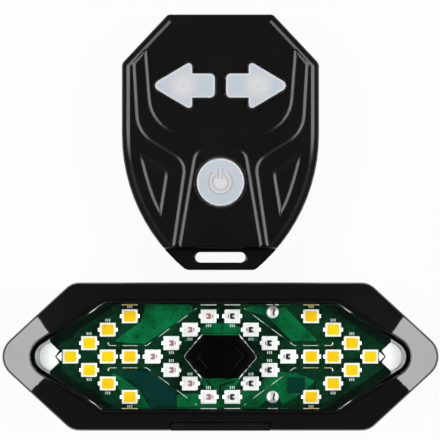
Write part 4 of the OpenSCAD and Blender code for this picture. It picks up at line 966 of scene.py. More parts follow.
for k in range(tick_count):
    tick_x = (k - (tick_count - 1) / 2) * tick_gap
    tick_shell.joined(prism(tick + tick_x, -sunk, 2 * mark_t + copper_t))
mark_off = led_y + mark_gap
mark_spots = []
for spots, outward in ((amber_spots, 1), (ring_spots, -1)):
    for x, y, z, _ in spots:
        if abs(y - light_y) > led_y:
            mark_spots.append((x, y + outward * math.copysign(mark_off, y - light_y), z, 0.0))
mark_white = moulded("mark_white", (0.62, 0.74, 0.7), 0.6, tone_shift=0.3)
printed_marks = set_on_spots(tick_shell, "printed_marks", mark_white, mark_spots, seed=19)
finished(printed_marks, "light", "led_white")

# White wedges, solder joints and the rest of the light's inside.
# A white wedge with a sloped lip stands at each end of the window beside the tip LED; its white is a
# painted reflection, standing in for the bright light seen in the window's ends. The battery leads come
# up beside their solder joints; cell and seals lie below.
wedge_high = span("tip_reflectors")[1]
wedge_x, wedge_end_x, wedge_y, wedge_end_y = 35.3, wedge_high.x, 3.1, 1.3
wedge_groove, wedge_bulge, wedge_edge, wedge_corner_r = 0.2, 0.6, 0.1, 0.15
nose_x, nose_l, nose_y, nose_corner_r = 34.95, 1.15, 1.1, 0.1
lip_gap, lip_share, lip_rise = 0.3, 0.8, 0.75
joint_low, joint_high = span("solder_joints")
joint_spread = 1.25
joint_steps = ((1.0, 0.0), (0.97, 0.1), (0.8, 0.22), (0.55, 0.34), (0.36, 0.4), (0.32, 0.6), (0.2, 0.64))
lead_end_w, lead_end_share = 0.34, 0.68
lead_bend = [(0.3, 0.85), (0.42, 0.4), (0.12, 0.0), (0.3, -0.7)]
wedge_top = wedge_high.z
wedge_middle_x = (wedge_x + wedge_end_x) / 2
main_shape = evenly(
    [(nose_x + nose_l + wedge_groove * 1.5, 0), (wedge_x + wedge_groove, -nose_y - wedge_groove),
     (wedge_middle_x, -wedge_y), (wedge_end_x - wedge_bulge, -wedge_y + wedge_bulge),
     (wedge_end_x + wedge_bulge / 2, -wedge_end_y), (wedge_end_x + wedge_bulge / 2, wedge_end_y),
     (wedge_end_x - wedge_bulge, wedge_y - wedge_bulge), (wedge_middle_x, wedge_y),
     (wedge_x + wedge_groove, nose_y + wedge_groove)], wedge_corner_r)
nose_shape = evenly([(nose_x, -nose_y), (nose_x + nose_l, 0), (nose_x, nose_y)], nose_corner_r)
wedge_shell = Shell()
for outline in (main_shape, nose_shape):
    wedge_shell.joined(Shell().solid([
        (rounded(outline, 0, 5), board_z),
        (rounded(outline, 0, 5), wedge_top - wedge_edge),
        (rounded(outline, wedge_edge, 5), wedge_top)]))
lip_line = window_line(lip_gap)
lip_line = lip_line[lip_line.real > wedge_middle_x]
lip_line = lip_line[np.argsort(lip_line.imag)]
wedge_shell.joined(Shell().solid([
    (lip_line, board_z),
    (lip_line, board_z + lip_rise * (wedge_top - board_z)),
    (wedge_middle_x + (lip_line - wedge_middle_x) * lip_share, wedge_top - wedge_edge)]))
# Painted reflection: the wedges' white stands in for the bright light in the window's ends.
reflector_white = moulded("reflector_white", (0.93, 0.94, 0.93), 0.4, tone_shift=0.1)
wedge_spots = [(0, light_y, 0, 0.0), (0, light_y, 0, math.pi)]
wedges = set_on_spots(wedge_shell, "tip_wedges", reflector_white, wedge_spots, seed=16)
finished(wedges, "light", "reflector_white", "tip_reflectors")


def lathe(profile, steps=32):
    """Shell turned round the Z axis from a profile of (radius, height), closed at both ends."""
    return Shell().solid([(disc(radius, steps=steps), height) for radius, height in profile])


joint_r = (joint_high.x - joint_low.x) / 2
joint_h = joint_high.z - joint_low.z
joint_x = (joint_high.x + joint_low.x) / 2
joint_profile = [(joint_spread * joint_r * out, joint_h * up) for out, up in joint_steps]
joint_tin = moulded(
    "joint_tin", (0.86, 0.85, 0.84), 0.36, tone_shift=0.3, grain_scale=1500.0, grain_depth=1.0,
    metallic=0.45)
joint_spots = [(joint_x, y, joint_low.z, 0.0) for y in (joint_high.y - joint_r, joint_low.y + joint_r)]
joints = set_on_spots(
    lathe(joint_profile), "solder_domes", joint_tin, joint_spots, seed=17, sharp=60.0)
finished(joints, "light", "solder", "solder_joints")
lead_end_z = joint_low.z + lead_end_share * joint_h
for name, colour, slot_name, spot in (
        ("positive_lead_end", (0.06, 0.008, 0.006), "lead_red", joint_spots[0]),
        ("negative_lead_end", (0.012, 0.009, 0.008), "lead_black", joint_spots[1])):
    route = [(spot[0] + x, spot[1] + y) for x, y in lead_bend]
    end_shell = prism(strip(route, lead_end_w), joint_low.z, lead_end_z)
    finished(piece(end_shell, name, moulded(name + "_tone", colour, 0.5)), "light", slot_name)
seal_rubber = moulded("seal_rubber", (0.012, 0.012, 0.012), 0.7, grain_depth=0.8)
dressed({
    "lens_gasket": seal_rubber,
    "housing_seal": seal_rubber,
    "battery": moulded("cell_foil", (0.62, 0.64, 0.66), 0.32, grain_scale=1800.0, metallic=0.9),
    "battery_pad": moulded("foam_grey", (0.05, 0.05, 0.052), 0.9, grain_scale=1500.0, grain_depth=1.0),
    "battery_lead_positive": moulded("lead_red", (0.45, 0.015, 0.012), 0.45),
    "battery_lead_negative": moulded("lead_black", (0.01, 0.01, 0.01), 0.45),
    "usb_socket": moulded("socket_steel", (0.6, 0.61, 0.62), 0.28, metallic=1.0)})

# Front cover of the remote.
# A satin black shell with a soft rim, raised ribs that frame the keys, a sunk window on each flank
# and a thin tab with a slot for the strap. Four screws from behind hold it to the rear cover.
remote_low, remote_high = span("remote_front_cover")
remote_w, remote_l = remote_high.x - remote_low.x, remote_high.y - remote_low.y
remote_y = (remote_low.y + remote_high.y) / 2
remote_part_z, remote_seam = remote_low.z, 0.1
rib_h, lit_slope = 0.8, 0.42
remote_top = remote_high.z - rib_h
chamfer_start, chamfer_lead, chamfer_flat, chamfer_tail = -0.6, 0.3, 0.35, 0.5
rim_w_total, rim_lead, rim_flat, rim_tail = 1.85, 0.15, 0.5, 0.35
ledge_fall, rim_edge = 0.1, 0.3
rim_fade_y, rim_fade_l, rim_fade_least = -9.0, 12.0, 0.35
rim_insets, rim_edge_steps = (0.0, 0.03, 0.07, 0.12, 0.2, 0.3, 0.5, 0.7), 24
recess_start, recess_fade = 0.1, 2.2
remote_top_x, shoulder_y, side_y, side_r, side_steps = 11.6, 17.4, 1.7, 38.7, 12
top_corner_r, shoulder_r, bottom_corner_r = 1.2, 1.8, 2.0
tab_z, tab_l, tab_slope = 8.6, 4.6, 0.35
tab_edge = tab_l - remote_l / 2
slot_len, slot_w, slot_inset, round_slack = 11.1, 2.3, 2.8, 0.01
remote_wall, remote_roof_z, hollow_end_y, hollow_step = 2.2, 10.4, -22.5, 0.8
power_r, power_y, power_steps = 5.3, -8.8, 72
key_y = 12.5
slope_depths = (-0.62, -0.5, -0.4, -0.3, -0.18, -0.06, 0.05, 0.2, 0.35, 0.5, 0.6)
slope_step, slope_slack, slope_clear = 0.4, 0.02, 0.85
rim_row_start, rim_row_gap, rim_step, rim_clear = 0.85, 0.1, 0.3, 0.4
tab_row_gap, tab_step = 0.3, 0.35
face_step, face_row_share, edge_clear, edge_shaded = 0.7, 0.866, 0.12, 0.05


def mirrored(shape):
    """The same outline on the other side of the middle."""
    points, radii = shape
    return [(-x, y) for x, y in reversed(points)], radii[::-1]


def both_sides(points, radii):
    """Outline from its right half, read upwards, and the same on the left."""
    left, left_radii = mirrored((points, radii))
    return points + left, radii + left_radii


def remote_outline():
    """Round flanks that run from the tab up to square shoulders and a slanted top."""
    half_l = remote_l / 2
    centre_x = remote_w / 2 - side_r
    lowest = -math.asin((half_l + side_y) / side_r)
    flank = []
    for k in range(side_steps + 1):
        angle = lowest * (1 - k / side_steps)
        flank.append((centre_x + side_r * math.cos(angle), side_y + side_r * math.sin(angle)))
    right = flank + [(remote_w / 2, shoulder_y), (remote_top_x, half_l)]
    return both_sides(right, [bottom_corner_r] + [0.0] * side_steps + [shoulder_r, top_corner_r])


def spaced(ring, gap):
    """The same ring with its points set evenly apart."""
    closed = np.append(ring, ring[0])
    run = np.concatenate([[0], np.cumsum(abs(np.diff(closed)))])
    count = max(8, int(run[-1] / gap))
    stops = np.arange(count) * run[-1] / count
    return np.interp(stops, run, closed.real) + 1j * np.interp(stops, run, closed.imag)


def depth_in(shape, flat):
    """How deep each point lies inside an outline; negative outside it."""
    ring = rounded(shape)
    return ring_distance(flat, ring) * np.where(inside_ring(flat, ring), 1, -1)


remote_shape = remote_outline()
remote_ring = rounded(remote_shape)
rib_shape = both_sides(
    [(10.25, -22.8), (7.6, -4.35), (18.15, 2.3), (19.0, 17.2), (16.6, 20.1)], [0.3, 4.0, 7.0, 0.6, 0.6])
key_field = both_sides([(15.2, 1.6), (16.65, 20.2), (16.65, 29.2)], [8.5, 0.5, 0.5])
power_field = both_sides([(9.25, -24.0), (5.5, -1.5)], [0.3, 2.6])
right_recess = (
    [(18.53, -0.71), (11.07, -5.98), (12.93, -17.39), (15.02, -13.55), (16.31, -9.89), (17.43, -6.0)],
    [0.5, 1.8, 0.05, 20.0, 40.0, 40.0])
left_recess = mirrored(right_recess)
arrow_points = [
    (15.2, 0), (6.4, 5.25), (6.4, 2.5), (1.4, 2.5), (1.4, -2.5), (6.4, -2.5), (6.4, -5.25)]
right_arrow = ([(x, y + key_y) for x, y in arrow_points], [1.0, 0.6, 0.4, 0.9, 0.9, 0.4, 0.6])
left_arrow = mirrored(right_arrow)


def remote_line(inset, edge_steps=1):
    return rounded(remote_shape, inset, 12, edge_steps)


def rib_depth(flat):
    """How deep a point lies inside the ribs, which frame the fields of the keys."""
    in_field = np.maximum(depth_in(key_field, flat), depth_in(power_field, flat))
    return np.minimum(depth_in(rib_shape, flat), -in_field)


def recess_depth(flat):
    return np.maximum(depth_in(right_recess, flat), depth_in(left_recess, flat))


def recess_share(flat):
    """Part of the recess's full depth: its floor climbs to the face at the upper edge."""
    end, start = flat_ring(right_recess[0][:2])
    away = abs(flat.real) + 1j * flat.imag - start
    return np.clip(-(away * unit(end - start).conjugate()).imag / recess_fade, 0, 1)


def chamfer(reach, lead, flat, tail):
    """Height gained on a soft chamfer: its slope sets in, holds and fades."""
    first = np.clip(reach / lead, 0, 1)
    second = np.clip((reach - lead) / flat, 0, 1)
    third = np.clip((reach - lead - flat) / tail, 0, 1)
    return lit_slope * (lead * first ** 2 / 2 + flat * second + tail * (third - third ** 2 / 2))


def cover_height(flat):
    """Height of the remote's face over a point."""
    inset = ring_distance(flat, remote_ring)
    reach = np.maximum(0, rim_w_total - inset)
    fade = np.clip((flat.imag - rim_fade_y) / rim_fade_l, rim_fade_least, 1)
    fade *= 1 - ledge_fall / lit_slope
    height = remote_top - fade * chamfer(reach, rim_lead, rim_flat, rim_tail) - ledge_fall * reach
    height -= rim_edge * np.maximum(0, 1 - inset / rim_edge) ** 3
    step = (chamfer_lead, chamfer_flat, chamfer_tail)
    height += chamfer(rib_depth(flat) - chamfer_start, *step)
    height -= recess_share(flat) * chamfer(recess_depth(flat) - recess_start, *step)
    climb = np.maximum(0, flat.imag - tab_edge) / tab_slope
    return np.minimum(height, tab_z + climb * (remote_top - tab_z))


slot_y = slot_inset - remote_l / 2
slot = rounded(rectangle(slot_len, slot_w, slot_w / 2 - round_slack), 0, 8) + 1j * slot_y
hollow_ring = rounded(remote_shape, remote_wall)
hollow_ring = spaced(hollow_ring.real + 1j * np.maximum(hollow_ring.imag, hollow_end_y), hollow_step)
holes = [
    rounded(right_arrow, -key_gap, 6),
    rounded(left_arrow, -key_gap, 6),
    disc(power_r + key_gap, y=power_y, steps=power_steps)]


def face_points(edge):
    """Points of the remote's face: along the slopes of ribs and recesses, and spread between them."""
    found = []
    for depth in slope_depths:
        for shape, sign in ((rib_shape, 1), (key_field, -1), (power_field, -1)):
            ring = spaced(rounded(shape, sign * depth, 16), slope_step)
            found.append(ring[abs(rib_depth(ring) - depth) < slope_slack])
        for shape in (right_recess, left_recess):
            inset = depth + recess_start - chamfer_start
            found.append(spaced(rounded(shape, inset, 12), slope_step))
    for inset in np.arange(rim_row_start, rim_w_total + rim_row_gap, rim_row_gap):
        found.append(spaced(remote_line(inset), rim_step))
    for row_y in (-tab_row_gap, 0, tab_slope, tab_slope + tab_row_gap):
        found.append(np.arange(-remote_top_x, remote_top_x, tab_step) + 1j * (tab_edge + row_y))
    grid = staggered(remote_w, remote_l, face_step, face_step * face_row_share)
    clear_of_ribs = abs(rib_depth(grid)) > slope_clear
    clear_of_recess = abs(recess_depth(grid) - recess_start + chamfer_start) > slope_clear
    clear_of_rim = ring_distance(grid, remote_ring) > rim_w_total + rim_clear
    found.append(grid[clear_of_ribs & clear_of_recess & clear_of_rim])
    points = np.concatenate(found)
    points = points[inside_ring(points, edge) & (ring_distance(points, edge) > edge_clear)]
    for hole in holes + [slot]:
        points = points[~inside_ring(points, hole) & (ring_distance(points, hole) > edge_clear)]
    return points


def on_face(flat):
    kept = ring_distance(flat, remote_ring) > rim_edge / 3
    for hole in holes + [slot]:
        kept &= ring_distance(flat, hole) > edge_shaded
    return kept


satin_black = moulded(
    "satin_black", (0.006, 0.006, 0.0062), 0.25, tone_shift=0.4, roughness_shift=0.08,
    grain_scale=3500.0, grain_depth=0.2, shader_values={"IOR": 1.6})
rim_lines = [remote_line(inset, rim_edge_steps) for inset in rim_insets]
cover_shell = Shell()
cover_rings = cover_shell.skin(
    [(remote_line(remote_seam, rim_edge_steps), remote_part_z),
     (rim_lines[0], remote_part_z + remote_seam)]
    + [(line, cover_height(line)) for line in rim_lines])
hole_rings = [cover_shell.skin([(hole, cover_height(hole)), (hole, remote_roof_z)]) for hole in holes]
slot_rings = cover_shell.skin([(slot, cover_height(slot)), (slot, remote_part_z)])
hollow_rings = cover_shell.skin([(hollow_ring, remote_part_z), (hollow_ring, remote_roof_z)])
cover_shell.fill(
    [cover_rings[-1]] + [rings[0] for rings in hole_rings] + [slot_rings[0]],
    face_points(rim_lines[-1]), cover_height)
cover_shell.close(
    [hollow_rings[-1]] + [rings[-1] for rings in hole_rings],
    [cover_rings[0], hollow_rings[0], slot_rings[-1]])
cover = piece(cover_shell.moved(0, remote_y, 0), "remote_front_moulding", satin_black, sharp=50.0)
shade_as(cover, cover_height, remote_y, on_face)
finished(cover, "remote", "satin_black", "remote_front_cover")

# Keys of the remote.
# Pale translucent silicone: two arrows and a round key with a raised power mark, with painted shadow at
# its foot.
# Each key has a flange that lies under the front cover and a stem that stands on its switch.
key_low, key_high = span("right_arrow_key")
key_top, stem_z = key_high.z, key_low.z
key_edge, key_rim_w, arrow_grow, power_grow = 0.22, 0.3, 0.17, -0.05
key_flange_w, key_flange_t, flange_gap, rim_mark_slack = 0.75, 0.7, 0.1, 0.02
flange_top = remote_roof_z - flange_gap
stem_x, stem_r, stem_sunk = 8.3, 1.4, 0.05
symbol_r, symbol_w, symbol_gap, symbol_steps = 2.2, 0.55, math.radians(70), 40
# Painted shadow round the power mark's foot, and painted light on its top.
foot_shadow_w, foot_shadow_h, foot_shadow_mark, foot_shadow_shade, symbol_painted_light = 0.38, 0.03, -1.0, 0.91, 0.75
# Painted rings of light and shade round each key's stem reach out to this radius.
shaded_r = 3.5
arrow_shades = [(0.0, 0.93), (0.5, 0.93), (0.95, 1.0), (1.4, 0.95), (2.4, 0.9)]
power_shades = [(0.0, 0.97), (0.7, 1.0), (1.3, 0.97), (2.2, 0.91)]


def mixed(tree, factor, first, second, blend="MIX"):
    return add_node(
        tree, "ShaderNodeMix", {"Factor": factor, 6: first, 7: second},
        data_type="RGBA", blend_type=blend).outputs[2]


def silicone(name, centre, shades):
    """Pale silicone with painted rings of light and shade round its stem, given by their radii, and
    painted light and shadow set by the key's rim attribute.
    """
    material, tree = new_material(name)
    skin = skin_of(
        tree, (0.92, 0.935, 0.96), roughness=0.5, tone_shift=0.12, roughness_shift=0.1,
        grain_scale=2500.0, grain_depth=0.3)
    offset = add_node(
        tree, "ShaderNodeVectorMath",
        {0: own_place(tree), 1: (centre[0] * mm, centre[1] * mm, 0)}, operation="SUBTRACT")
    level = add_node(tree, "ShaderNodeVectorMath", {0: offset, 1: (1, 1, 0)}, operation="MULTIPLY")
    reach = add_node(tree, "ShaderNodeVectorMath", {0: level}, operation="LENGTH")
    share = add_node(
        tree, "ShaderNodeMapRange", {"Value": reach.outputs["Value"], "From Max": shaded_r * mm})
    # Painted light and shade in rings round the stem, then the key's own bluish tint further out.
    stops = [(radius / shaded_r, grey(shade)) for radius, shade in shades]
    painted_stem_rings = ramp(tree, share, stops + [(1.0, (0.77, 0.83, 0.89))])
    toned = mixed(tree, 1.0, skin["Base Color"], painted_stem_rings, "MULTIPLY")
    rim = add_node(tree, "ShaderNodeAttribute", attribute_name="rim").outputs["Fac"]
    # Painted shadow: the thin plate round the mark's foot is darkened.
    shadow = add_node(
        tree, "ShaderNodeMapRange",
        {"Value": rim, "From Min": foot_shadow_mark, "From Max": 0.0, "To Min": foot_shadow_shade})
    footed = mixed(tree, 1.0, toned, shadow, "MULTIPLY")
    # Painted light: the rim and the power mark's top are mixed towards pale white.
    rimmed = mixed(tree, rim, footed, (0.95, 0.97, 1.0, 1))
    principled(
        tree, {**skin, "Base Color": rimmed, "Subsurface Weight": 0.25,
               "Subsurface Radius": (0.001, 0.001, 0.0011), "Subsurface Scale": 0.5})
    return material


def key_shell(line, stem_place):
    """Key on its stem, from its outline as a function of how far inwards the line lies."""
    shell = Shell().solid([
        (line(-key_flange_w), flange_top - key_flange_t),
        (line(-key_flange_w), flange_top),
        (line(0), flange_top),
        (line(0), key_top - key_edge),
        (line(key_edge * 0.13), key_top - key_edge * 0.5),
        (line(key_edge * 0.5), key_top - key_edge * 0.13),
        (line(key_edge), key_top),
        (line(key_edge + key_rim_w), key_top)])
    stem = lathe([(stem_r, stem_z), (stem_r, flange_top - key_flange_t + stem_sunk)])
    return shell.joined(stem.moved(*stem_place, 0))


def key_piece(shell, name, material, line):
    """Key in its place, marked for painted light on its rim and on the mark's top, and for painted shadow
    at the mark's foot.
    """
    made = piece(shell.moved(0, remote_y, 0), name, material)
    flat, z = from_above(made, remote_y)
    painted_light_and_shade = 1.0 - inside_ring(flat, line(key_edge + key_rim_w - rim_mark_slack))
    painted_light_and_shade[z - key_top > foot_shadow_h / 2] = foot_shadow_mark
    painted_light_and_shade[z - key_top > foot_shadow_h * 2] = symbol_painted_light
    rim = made.data.attributes.new("rim", "FLOAT", "POINT")
    rim.data.foreach_set("value", painted_light_and_shade)
    return made


def power_line(inset):
    return disc(power_r + power_grow - inset, y=power_y, steps=power_steps)


for name, shape, body, side in (
        ("left_arrow_key", left_arrow, "left_key", -1), ("right_arrow_key", right_arrow, "right_key", 1)):
    def arrow_line(inset):
        return rounded(shape, inset - arrow_grow, 8)

    rubber = silicone("silicone_" + body, (side * stem_x, key_y + remote_y), arrow_shades)
    arrow_shell = key_shell(arrow_line, (side * stem_x, key_y))
    finished(key_piece(arrow_shell, name + "_moulding", rubber, arrow_line), body, "key_silicone", name)

power_shell = key_shell(power_line, (0, power_y))
arc_angles = math.pi / 2 + symbol_gap / 2 + np.linspace(0, 2 * math.pi - symbol_gap, symbol_steps)
arc_route = [(symbol_r * math.cos(a), symbol_r * math.sin(a) + power_y) for a in arc_angles]
bar_route = [(0, power_y + symbol_r / 3), (0, power_y + symbol_r * 4 / 3)]
symbol_top = span("power_key")[1].z
# A thin plate round the mark's foot carries only its painted shadow.
for route in (arc_route, bar_route):
    shadow_plate = strip(route, symbol_w + 2 * foot_shadow_w)
    power_shell.joined(prism(shadow_plate, key_top - sunk, key_top + foot_shadow_h))
    power_shell.joined(prism(strip(route, symbol_w), key_top - sunk, symbol_top))
rubber = silicone("silicone_on_key", (0, power_y + remote_y), power_shades)
power_key = key_piece(power_shell, "power_key_moulding", rubber, power_line)
finished(power_key, "on_key", "key_silicone", "power_key")

# Rear housing of the light, with the cover of its charging socket.
# A matt black tub with a bevelled back takes the board and the cell; four cross-head screws run
# through it into the bezel. The rubber cover swings on two stubs in the lower edge.
back_z = span("rear_housing")[0].z
housing_wall, housing_floor = 3.2, 2.4
back_bevel_w, back_bevel_h, back_soft, side_soft_w, side_soft_h = 1.6, 2.4, 0.15, 0.12, 0.1
screw_x, screw_y, screw_sink, head_recess_r = 32.0, 11.2, 0.4, 2.1
screw_r, screw_head_r, screw_head_h, screw_turn, screw_turn_step = 1.0, 1.9, 1.4, 0.4, 0.5
cover_low, cover_high = span("usb_cover")
cover_edge_r, stub_r, stub_sunk = 0.12, 0.6, 0.3
plug_w, plug_t = 7.2, 1.3
socket_low, socket_high = span("usb_socket")
socket_gap, socket_cut_lead = 0.3, 1.0


def pit(shell, place, radius, face_z, floor_z):
    """Round pit with a flat floor; gives back its rim for the face round it."""
    line = disc(radius, *place)
    rim, floor = shell.skin([(line, face_z), (line, floor_z)])
    shell.fill([floor])
    return rim


matt_black = moulded("matt_black", (0.009, 0.009, 0.0093), 0.5, grain_scale=2600.0, grain_depth=0.8)
corners = [(x, y) for x in (-screw_x, screw_x) for y in (-screw_y, screw_y)]
housing_shell = Shell()
housing_rings = housing_shell.skin([
    (light_line(back_bevel_w + 2 * back_soft), back_z),
    (light_line(back_bevel_w - back_soft), back_z + back_soft),
    (light_line(side_soft_w), back_z + back_bevel_h - side_soft_w),
    (light_line(0), back_z + back_bevel_h + side_soft_h),
    (light_line(0), part_z - seam),
    (light_line(seam), part_z),
    (light_line(housing_wall), part_z),
    (light_line(housing_wall), back_z + housing_floor)])
pits = [
    pit(housing_shell, place, head_recess_r, back_z, back_z + screw_sink + screw_head_h)
    for place in corners]
housing_shell.close([housing_rings[0]] + pits, [housing_rings[-1]])
housing = piece(housing_shell.moved(0, light_y, 0), "rear_housing_moulding", matt_black, sharp=30.0)
cut_box(housing, (-cover_x, -light_h, cover_low.z - cover_gap), (cover_x, cover_edge, 2 * rim_z))
cut_box(
    housing, (socket_low.x - socket_gap, cover_edge - socket_cut_lead, socket_low.z - socket_gap),
    (socket_high.x + socket_gap, cover_edge + housing_wall, socket_high.z + socket_gap))
finished(housing, "light", "matt_black", "rear_housing")

half_t, half_w = cover_t / 2, cover_w / 2
hinge_z = cover_low.z + half_t
cover_y = half_t - light_h / 2
hinge_r = half_t - round_slack
flap_shape = (
    [(cover_y - half_t, hinge_z - half_t), (cover_y + half_t, hinge_z - half_t),
     (cover_y + half_t, cover_high.z), (cover_y - half_t, cover_high.z)],
    [hinge_r, hinge_r, cover_edge_r, cover_edge_r])


def bar_along(shape, length, edge):
    """Bar with one outline all along, with its end edges taken off."""
    return Shell().solid([
        (rounded(shape, edge), -length / 2), (rounded(shape), edge - length / 2),
        (rounded(shape), length / 2 - edge), (rounded(shape, edge), length / 2)])


flap_shell = bar_along(flap_shape, cover_w, cover_edge_r)
stub_line = disc(stub_r, cover_y, hinge_z, steps=20)
flap_shell.joined(prism(stub_line, cover_low.x, stub_sunk - half_w))
flap_shell.joined(prism(stub_line, half_w - stub_sunk, cover_high.x))
flap_shell.turned((2, 0, 1))
socket_z = (socket_low.z + socket_high.z) / 2
flap_shell.joined(box_shell(
    (-plug_w / 2, cover_y, socket_z - plug_t / 2),
    (plug_w / 2, cover_high.y - light_y, socket_z + plug_t / 2)))
cover_rubber = moulded("cover_rubber", (0.0095, 0.0095, 0.0096), 0.25, grain_depth=0.3)
flap = piece(flap_shell.moved(0, light_y, 0), "socket_cover_flap", cover_rubber)
finished(flap, "port_cover", "cover_rubber", "usb_cover")
screw_steel = moulded("screw_steel", (0.42, 0.43, 0.44), 0.3, grain_scale=2000.0, metallic=1.0)


def screw_shell(shank, head, head_h, length):
    """Cross-head screw on its head, which lies at z = 0 and faces down."""
    arm, arm_l, cross_d = head / 6, head * 0.62, head_h / 2
    quarter = flat_ring([(arm_l, -arm), (arm_l, arm), (arm, arm)])
    cross = np.concatenate([quarter * 1j ** k for k in range(4)])
    shell = Shell()
    outer = shell.skin([
        (disc(head * 0.88), 0), (disc(head), head_h * 0.25), (disc(head), head_h), (disc(shank), head_h),
        (disc(shank), length - shank), (disc(shank * 0.3), length)])
    inner = shell.skin([(cross, 0), (cross, cross_d)])
    shell.close([outer[0], inner[0]], [inner[-1]], [outer[-1]])
    return shell


def screw_set(node, name, body, sizes, places, seed):
    """Screws on places (x, y, turn) instead of a CAD node, with shank, head and head height as sizes."""
    low, high = span(node)
    spots = [(x, y, low.z, turn) for x, y, turn in places]
    screws = set_on_spots(screw_shell(*sizes, high.z - low.z), name, screw_steel, spots, seed)
    finished(screws, body, "screw_steel", node)


case_screw = (screw_r, screw_head_r, screw_head_h)
housing_places = [
    (x, y + light_y, screw_turn + screw_turn_step * k) for k, (x, y) in enumerate(corners)]
screw_set("housing_screws", "housing_screw_set", "light", case_screw, housing_places, seed=21)

# Seat-post cradle of the light.
# A saddle of the same matt plastic, screwed to the housing's back, with a strap hook on each side.
# A ribbed rubber pad lines it and grips the post.
cradle_low, cradle_high = span("seatpost_cradle")
cradle_l = cradle_high.y - cradle_low.y
post_r, pad_t, post_z = 13.7, 1.2, -6.132
lining_r = post_r + pad_t
saddle_foot_w, saddle_foot_r, saddle_edge, arch_steps = 2.0, 0.5, 0.35, 48
hook_l, hook_out, hook_t, hook_lip, hook_z = 14.0, 3.4, 1.4, 4.5, 3.0
hook_r, hook_edge, hook_sunk = 0.4, 0.3, 0.5
cradle_screw_y, cradle_screw_turn = 6.5, 0.6
cradle_screw = (1.2, 2.2, 1.0)
pad_z, pad_gap, pad_steps = span("cradle_pad")[0].z, 0.02, 60
groove_d, groove_count, groove_steps, groove_narrowing = 0.35, 13, 8, 1.5


def arc_points(radii, low_angle, high_angle):
    """Points round the post's axis, at one radius each, from one angle to another."""
    return [
        (radius * math.cos(a), post_z + radius * math.sin(a))
        for radius, a in zip(radii, np.linspace(low_angle, high_angle, len(radii)))]


foot_angle = math.asin(-post_z / lining_r)
arch = arc_points([lining_r] * (arch_steps + 1), math.pi - foot_angle, foot_angle)
saddle_x = arch[-1][0] + saddle_foot_w
saddle_shape = (
    [(saddle_x, 0), (saddle_x, back_z), (-saddle_x, back_z), (-saddle_x, 0)] + arch,
    [saddle_foot_r] * 4 + [0.0] * len(arch))
hook_x, root_x = saddle_x + hook_out, saddle_x - hook_sunk
hook_shape = (
    [(root_x, hook_z), (hook_x, hook_z), (hook_x, hook_z + hook_lip),
     (hook_x - hook_t, hook_z + hook_lip), (hook_x - hook_t, hook_z + hook_t), (root_x, hook_z + hook_t)],
    [0.0, hook_r, hook_r, hook_r, hook_r, 0.0])
saddle_shell = bar_along(saddle_shape, cradle_l, saddle_edge)
for shape in (hook_shape, mirrored(hook_shape)):
    saddle_shell.joined(bar_along(shape, hook_l, hook_edge))
saddle_shell.turned((0, 2, 1)).moved(0, light_y, 0)
finished(piece(saddle_shell, "seatpost_saddle", matt_black), "light", "matt_black", "seatpost_cradle")

pad_angle = math.asin((pad_z - post_z) / lining_r)
inner_angle = math.asin((pad_z - post_z) / post_r)
pad_outer = arc_points([lining_r - pad_gap] * (pad_steps + 1), pad_angle, math.pi - pad_angle)
ridges = np.cos(np.arange(groove_count * groove_steps + 1) * 2 * math.pi / groove_steps) / 2 + 0.5
groove_radii = post_r + groove_d * np.maximum(0, 1 - groove_narrowing * ridges)
pad_line = flat_ring(pad_outer + arc_points(groove_radii, math.pi - inner_angle, inner_angle))
pad_shell = prism(pad_line, -cradle_l / 2, cradle_l / 2).turned((0, 2, 1)).moved(0, light_y, 0)
pad_rubber = moulded("pad_rubber", (0.014, 0.014, 0.0145), 0.75, grain_scale=2200.0, grain_depth=1.0)
finished(piece(pad_shell, "cradle_lining", pad_rubber, sharp=45.0), "light", "seal_rubber", "cradle_pad")
cradle_places = [(0, light_y + side * cradle_screw_y, side * cradle_screw_turn) for side in (-1, 1)]
screw_set("cradle_screws", "cradle_screw_set", "light", cradle_screw, cradle_places, seed=22)

# Rear cover of the remote, with its battery door.
# A satin tub closes the remote from behind with four screws. The round door has a coin slot and
# three lugs that turn under the opening's ledge, and presses a coin cell on to its spring.
rear_top = span("remote_rear_cover")[1].z
rear_bevel, rear_soft, rear_edge_steps, remote_floor, coin_y = 0.8, 0.15, 6, 2.0, 7.0
door_low, door_high = span("battery_door")
door_r, door_gap, door_slack, door_edge, door_turn, door_steps = 11.3, 0.1, 0.05, 0.25, 40.0, 96
lug_out, lug_z, lug_h, lug_angle, lug_play, lug_sunk, lug_steps = 0.9, 1.1, 0.5, 24.0, 3.0, 0.5, 13
groove_gap, opening_step, lug_count = 0.1, 1.5, 3
lug_turn = 360 / lug_count
coin_slot_l, coin_slot_w, coin_slot_d, coin_slot_r = 12.0, 1.8, 0.8, 0.4
remote_turn, remote_turn_step = 0.3, 0.7
remote_corners = [(17.4, 4.0), (-17.4, 4.0), (12.6, -16.0), (-12.6, -16.0)]


def rear_line(inset):
    return remote_line(inset, rear_edge_steps)


